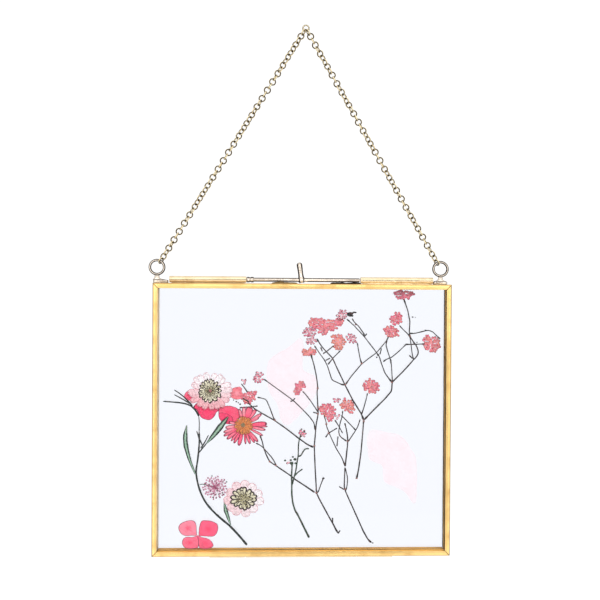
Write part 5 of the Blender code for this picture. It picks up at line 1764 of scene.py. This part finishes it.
                   (66.2, 102.8), (64.8, 102.6), (62.7, 103.1), (61.4, 104.8),
                   (61.0, 107.0)], 0.5, 1)],
        "grains": [(38.3, 101.2, 1.3, 0.4), (37.6, 100.0, 0.9, 0.4), (11.3, 98.2, 0.9, 0.4),
                   (52.6, 106.6, 1.1, 0.5), (35.0, 85.2, 1.6, 0.9)],
        "forks": [(31.1, 68.6), (21.7, 86.1), (30.0, 96.8)],
    },
    "right_limb": {
        "layer": "high", "seed": 700, "slot": "blush_floret",
        "trunk": [(31.4, 68.4), (36.0, 73.2), (42.0, 79.2), (45.2, 83.0), (45.5, 87.5),
                  (50.5, 92.4), (54.5, 96.8), (56.2, 98.9), (57.3, 99.8), (58.5, 101.6),
                  (58.7, 103.2), (57.8, 105.8), (56.2, 107.9), (54.3, 110.6), (54.0, 113.0),
                  (54.3, 118.5), (53.7, 121.0), (53.2, 123.6), (52.0, 127.0), (51.1, 129.6)],
        "twigs": [[(45.3, 87.4), (41.8, 92.0), (40.2, 96.3), (38.8, 100.6), (37.5, 102.4),
                   (30.9, 110.8), (26.0, 116.0), (22.2, 119.4)],
                  [(45.6, 87.6), (45.0, 96.6), (44.6, 99.2)],
                  [(54.2, 110.6), (53.4, 111.8), (50.2, 114.8), (49.0, 116.2)],
                  [(56.2, 99.0), (55.5, 102.0), (54.8, 107.6), (54.3, 110.9)],
                  [(54.2, 112.2), (56.8, 112.2), (61.6, 113.4), (63.5, 113.9), (65.8, 113.2),
                   (68.5, 110.6), (69.8, 109.5)],
                  [(30.9, 111.0), (31.2, 111.6), (28.1, 116.0), (26.0, 117.8), (25.0, 119.6)],
                  [(31.3, 110.7), (32.5, 112.0)], [(54.1, 101.1), (55.6, 99.6)],
                  [(39.2, 101.6), (39.9, 104.6)], [(25.4, 122.8), (27.2, 122.6)]],
        "heads": [([(46.0, 133.3), (47.5, 134.1), (50.5, 134.1), (53.0, 133.9), (55.4, 133.9),
                   (56.8, 132.8), (56.4, 131.3), (54.6, 130.7), (53.8, 129.8), (52.0, 130.0),
                   (50.8, 129.0), (49.2, 128.8), (47.9, 129.6), (46.6, 131.0)], 0.85, 1),
                  ([(43.4, 120.5), (44.8, 121.6), (46.2, 122.0), (47.3, 123.1), (49.2, 122.8),
                   (50.7, 120.9), (51.0, 118.9), (49.6, 117.3), (47.8, 116.2), (46.2, 116.2),
                   (44.6, 116.9), (44.2, 118.1), (43.1, 119.0)], 0.8, 1),
                  ([(16.9, 121.0), (17.4, 122.8), (18.8, 124.0), (20.6, 124.4), (22.2, 123.2),
                   (22.6, 121.4), (21.6, 119.6), (19.6, 118.9), (17.6, 119.4)], 0.45, 2)],
        "grains": [(23.7, 121.7, 3.0, 0.55), (24.9, 121.0, 1.4, 0.3), (25.1, 122.3, 1.2, 0.2),
                   (55.6, 120.5, 0.9, 0.4), (57.0, 120.3, 0.5, 0.5), (56.4, 107.4, 1.1, 0.4),
                   (57.9, 107.7, 0.7, 0.4), (62.2, 113.8, 0.9, 0.4), (26.8, 116.6, 1.1, 0.8)],
        "forks": [(54.3, 110.9), (45.4, 87.4)],
    },
}


class PRESSEDFRAME_OT_dark_sprig(bpy.types.Operator):
    """Builds the short dark sprig with its buds"""

    bl_idname = "pressed_frame.dark_sprig"
    bl_label = "Dark sprig"

    def execute(self, context):
        """A stalk, its shoots and round buds in green and rose."""
        spray("dark_sprig", **SPRIG)
        return {"FINISHED"}


class PRESSEDFRAME_OT_gypsophila(bpy.types.Operator):
    """Builds the three gypsophila sprays, limb by limb"""

    bl_idname = "pressed_frame.gypsophila"
    bl_label = "Gypsophila"

    def execute(self, context):
        """Left, middle and right sprays, each split at its main forks."""
        for name, limb in LIMBS.items():
            spray("gypsophila_" + name, **limb)
        return {"FINISHED"}


# ---- Add-on ----

class PRESSEDFRAME_PT_panel(bpy.types.Panel):
    """Lists the settings and the pieces."""

    bl_idname = "PRESSEDFRAME_PT_panel"
    bl_label = "Pressed Flower Frame"
    bl_space_type = "VIEW_3D"
    bl_region_type = "UI"
    bl_category = "Pressed Frame"

    def draw(self, context):
        """Draws the settings, then one button for each group of pieces."""
        settings = context.scene.pressed_frame
        for group in (settings.sizes, settings.colours):
            box = self.layout.box()
            for name in group.__annotations__:
                box.prop(group, name)
        for operator in OPERATORS:
            self.layout.operator(operator.bl_idname)


OPERATORS = (
    PRESSEDFRAME_OT_stage, PRESSEDFRAME_OT_panes, PRESSEDFRAME_OT_channels, PRESSEDFRAME_OT_latch,
    PRESSEDFRAME_OT_rings, PRESSEDFRAME_OT_hinge, PRESSEDFRAME_OT_chain, PRESSEDFRAME_OT_daisies,
    PRESSEDFRAME_OT_petals, PRESSEDFRAME_OT_umbel, PRESSEDFRAME_OT_leafy_stalk, PRESSEDFRAME_OT_dark_sprig,
    PRESSEDFRAME_OT_gypsophila,
)
CLASSES = (FrameSizes, FrameColours, FrameSettings, *OPERATORS, PRESSEDFRAME_PT_panel)


def register():
    """Registers the classes and the scene's settings."""
    for cls in CLASSES:
        bpy.utils.register_class(cls)
    bpy.types.Scene.pressed_frame = bpy.props.PointerProperty(type=FrameSettings)


def unregister():
    """Takes the settings and the classes out again."""
    del bpy.types.Scene.pressed_frame
    for cls in reversed(CLASSES):
        bpy.utils.unregister_class(cls)


def main():
    """Builds everything in order."""
    register()
    for operator in OPERATORS:
        group, name = operator.bl_idname.split(".")
        getattr(getattr(bpy.ops, group), name)()


if __name__ == "__main__":
    main()
